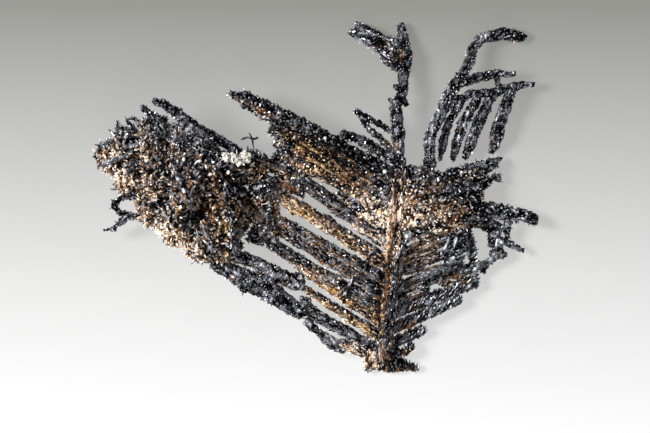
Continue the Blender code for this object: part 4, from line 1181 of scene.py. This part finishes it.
class SPECIMEN_OT_left_ribs(bpy.types.Operator):
    """Grow the ribs on the left and the crusts that bridge them"""

    bl_idname = "specimen.left_ribs"
    bl_label = "Left ribs"

    def execute(self, context):
        for name in sorted(frame["nodes"]):
            if name.startswith("left_rib"):
                crusted(name, "ribs", slope(31, -1))
        crusted("middle_crust", "dark")
        crusted("lower_crust", "scaly", slope(31, -1))
        crusted("left_rail", "scaly", slope(40, -1))
        return {"FINISHED"}


class SPECIMEN_OT_right_ribs(bpy.types.Operator):
    """Grow the ribs on the right, their lattice and its edge"""

    bl_idname = "specimen.right_ribs"
    bl_label = "Right ribs"

    def execute(self, context):
        for name in sorted(frame["nodes"]):
            if name.startswith("right_rib"):
                crusted(name, "striated", slope(60))
        crusted("right_lattice", "ribs", slope(32))
        crusted("right_hook_branch", "dark", (0.5, -0.3, 0.0))
        crusted("right_edge_blades", "twig", (0.5, -0.5, 0.0))
        return {"FINISHED"}


class SPECIMEN_OT_top_branches(bpy.types.Operator):
    """Grow the tall branch with its head, the top rib and the forked twig"""

    bl_idname = "specimen.top_branches"
    bl_label = "Top branches"

    def execute(self, context):
        crusted("tall_branch", "scaly", (0.0, 1.0, 0.0))
        crusted("branch_head", "dark", slope(30, -1))
        crusted("top_rib", "dark", slope(25, -1))
        crusted("forked_twig", "twig", slope(40, -1))
        return {"FINISHED"}


class SPECIMEN_OT_fern(bpy.types.Operator):
    """Grow the fern: its stem, hook, side branch and comb"""

    bl_idname = "specimen.fern"
    bl_label = "Fern"

    def execute(self, context):
        crusted("fern_stem", "scaly", (0.3, 1.0, 0.0))
        crusted("fern_hook", "scaly", (0.7, 0.7, 0.0))
        crusted("fern_side_branch", "twig", (1.0, 0.2, 0.0))
        crusted("fern_comb", "scaly", (-0.3, -1.0, 0.0))
        return {"FINISHED"}


class SPECIMEN_OT_wires(bpy.types.Operator):
    """Lay the strands, the twigs, the loose wires and the lumps on the specimen"""

    bl_idname = "specimen.wires"
    bl_label = "Loose wires"

    def execute(self, context):
        context.view_layer.update()
        for name, (finish, width, thickness, points) in STRANDS.items():
            wire(name, finish, width, thickness, STRAND_SHINE, points, STRAND_LAYERS)
        for name, (finish, width, thickness, points) in TWIGS.items():
            wire(name, finish, width, thickness, TWIG_SHINE, points, TWIG_LAYERS)
        for name, (finish, width, thickness, shine, points) in WIRES.items():
            wire(name, finish, width, thickness, shine, points)
        for name, (finish, shine, layers, places) in LUMPS.items():
            lumps(name, finish, shine, layers, places)
        return {"FINISHED"}


# The stage

PICTURE = Vector((650.0, 433.0))  # the picture's size in pixels
PIXEL = 0.16 * MM  # what a pixel covers on the specimen
BOX_MIDDLE = Vector((317.0, 197.0))  # the specimen's middle in the picture
SENSOR = 36.0  # the width of the camera's sensor, in millimetres
FLOOR_REACH = 3.0  # from the floor's middle to its edges, in metres
NEAR_END = -0.55  # where the floor starts to darken, in picture heights from the middle
FAR_END = 0.45  # where it is darkest
BEND = 0.35  # how far along the darkening the floor has its middle shade
BEND_SHADE = 0.7  # how much of the near floor's colour is in that shade
FLOOR_ROUGHNESS = 0.9
SKY_COLOUR = (0.9, 0.93, 1.0, 1.0)
LAMPS = (  # name, place, width, the power that it takes, and how much of that
    ("key_light", (-0.44, 0.10, 0.44), 0.20, "key", 1.0),
    ("front_light", (-0.10, -0.50, 0.50), 0.25, "fill", 1.0),
    ("right_light", (0.60, 0.10, 0.30), 0.20, "fill", 0.6),
)


def soft_light(name, place, size, power, target):
    """A square area light that faces a point."""
    data = bpy.data.lights.new(name, "AREA")
    data.size = size
    data.energy = power
    light = bpy.data.objects.new(name, data)
    light.location = place
    light.rotation_euler = (Vector(target) - Vector(place)).to_track_quat("-Z", "Y").to_euler()
    bpy.context.scene.collection.objects.link(light)


def floor_with_painted_falloff(stage):
    """Pale floor with painted shade that darkens it towards its far end, as light falling off would, and that
    glows a little as on a light table.
    """
    material, tree, shader = new_material("floor_finish")
    place = put(tree, "ShaderNodeTexCoord").outputs["Object"]
    height = PICTURE.y * PIXEL
    share = put(tree, "ShaderNodeMapRange", {
        "Value": put(tree, "ShaderNodeSeparateXYZ", {0: place}).outputs[1],
        "From Min": height * NEAR_END, "From Max": height * FAR_END,
    }).outputs[0]
    middle = mix_shades(stage.far_floor, stage.floor, BEND_SHADE)
    for socket, strength in (("Base Color", stage.paper), ("Emission Color", stage.glow)):
        near, halfway, far = (tuple(strength * value for value in shade)
                              for shade in (stage.floor, middle, stage.far_floor))
        shade = ramp(tree, share, ((0.0, near), (BEND, halfway), (1.0, far)))
        tree.links.new(shade, shader.inputs[socket])
    shader.inputs["Emission Strength"].default_value = 1.0
    shader.inputs["Roughness"].default_value = FLOOR_ROUGHNESS
    return material


def lay_floor(stage):
    ground = bmesh.new()
    bmesh.ops.create_grid(ground, x_segments=1, y_segments=1, size=FLOOR_REACH)
    mesh = bpy.data.meshes.new("floor")
    ground.to_mesh(mesh)
    ground.free()
    mesh.materials.append(floor_with_painted_falloff(stage))
    floor = bpy.data.objects.new("floor", mesh)
    bpy.context.scene.collection.objects.link(floor)


class SPECIMEN_OT_stage(bpy.types.Operator):
    """Set the pale floor, the soft lights and the camera that looks straight down"""

    bl_idname = "specimen.stage"
    bl_label = "Stage"

    def execute(self, context):
        scene = context.scene
        stage = scene.specimen_stage
        lay_floor(stage)

        world = bpy.data.worlds.new("soft_sky")
        world.use_nodes = True
        sky = world.node_tree.nodes["Background"]
        sky.inputs["Color"].default_value = SKY_COLOUR
        sky.inputs["Strength"].default_value = stage.sky
        scene.world = world

        middle = (PICTURE / 2 - BOX_MIDDLE) * PIXEL
        target = (middle.x, -middle.y, 0.0)
        for name, place, width, power, share in LAMPS:
            soft_light(name, place, width, share * getattr(stage, power), target)

        lens = bpy.data.cameras.new("camera")
        lens.sensor_width = SENSOR
        reach = stage.camera_height - CAD_BOX[1].z / 2
        lens.lens = SENSOR * reach / (PICTURE.x * PIXEL)
        camera = bpy.data.objects.new("camera", lens)
        camera.location = (target[0], target[1], stage.camera_height)
        scene.collection.objects.link(camera)
        scene.camera = camera
        scene.view_settings.view_transform = "Standard"
        return {"FINISHED"}


class SPECIMEN_PT_panel(bpy.types.Panel):
    """Lists the sizes, the colours and the pieces"""

    bl_label = "Native silver"
    bl_idname = "SPECIMEN_PT_panel"
    bl_space_type = "VIEW_3D"
    bl_region_type = "UI"
    bl_category = "Specimen"

    def draw(self, context):
        scene = context.scene
        for group in (scene.specimen_crust, scene.specimen_finish, scene.specimen_stage):
            box = self.layout.box()
            for name in group.__annotations__:
                box.prop(group, name)
        for operator in OPERATORS:
            self.layout.operator(operator.bl_idname)


OPERATORS = (
    SPECIMEN_OT_clump,
    SPECIMEN_OT_stem,
    SPECIMEN_OT_sheets,
    SPECIMEN_OT_left_ribs,
    SPECIMEN_OT_right_ribs,
    SPECIMEN_OT_top_branches,
    SPECIMEN_OT_fern,
    SPECIMEN_OT_wires,
    SPECIMEN_OT_stage,
)
SETTINGS = {
    "specimen_crust": SpecimenCrust,
    "specimen_finish": SpecimenFinish,
    "specimen_stage": SpecimenStage,
}


def register():
    for group in SETTINGS.values():
        bpy.utils.register_class(group)
    for name, group in SETTINGS.items():
        setattr(bpy.types.Scene, name, PointerProperty(type=group))
    for cls in (*OPERATORS, SPECIMEN_PT_panel):
        bpy.utils.register_class(cls)


def unregister():
    for cls in reversed((*OPERATORS, SPECIMEN_PT_panel)):
        bpy.utils.unregister_class(cls)
    for name, group in SETTINGS.items():
        delattr(bpy.types.Scene, name)
        bpy.utils.unregister_class(group)


def clear_shapes():
    """Removes the crystal shapes once every piece has grown."""
    for collection in [c for c in bpy.data.collections if c.name.startswith("specimen_")]:
        for thing in list(collection.objects):
            bpy.data.objects.remove(thing)
        bpy.data.collections.remove(collection)


def main():
    register()
    for operator in OPERATORS:
        group, name = operator.bl_idname.split(".")
        getattr(getattr(bpy.ops, group), name)()
    clear_shapes()


if __name__ == "__main__":
    main()
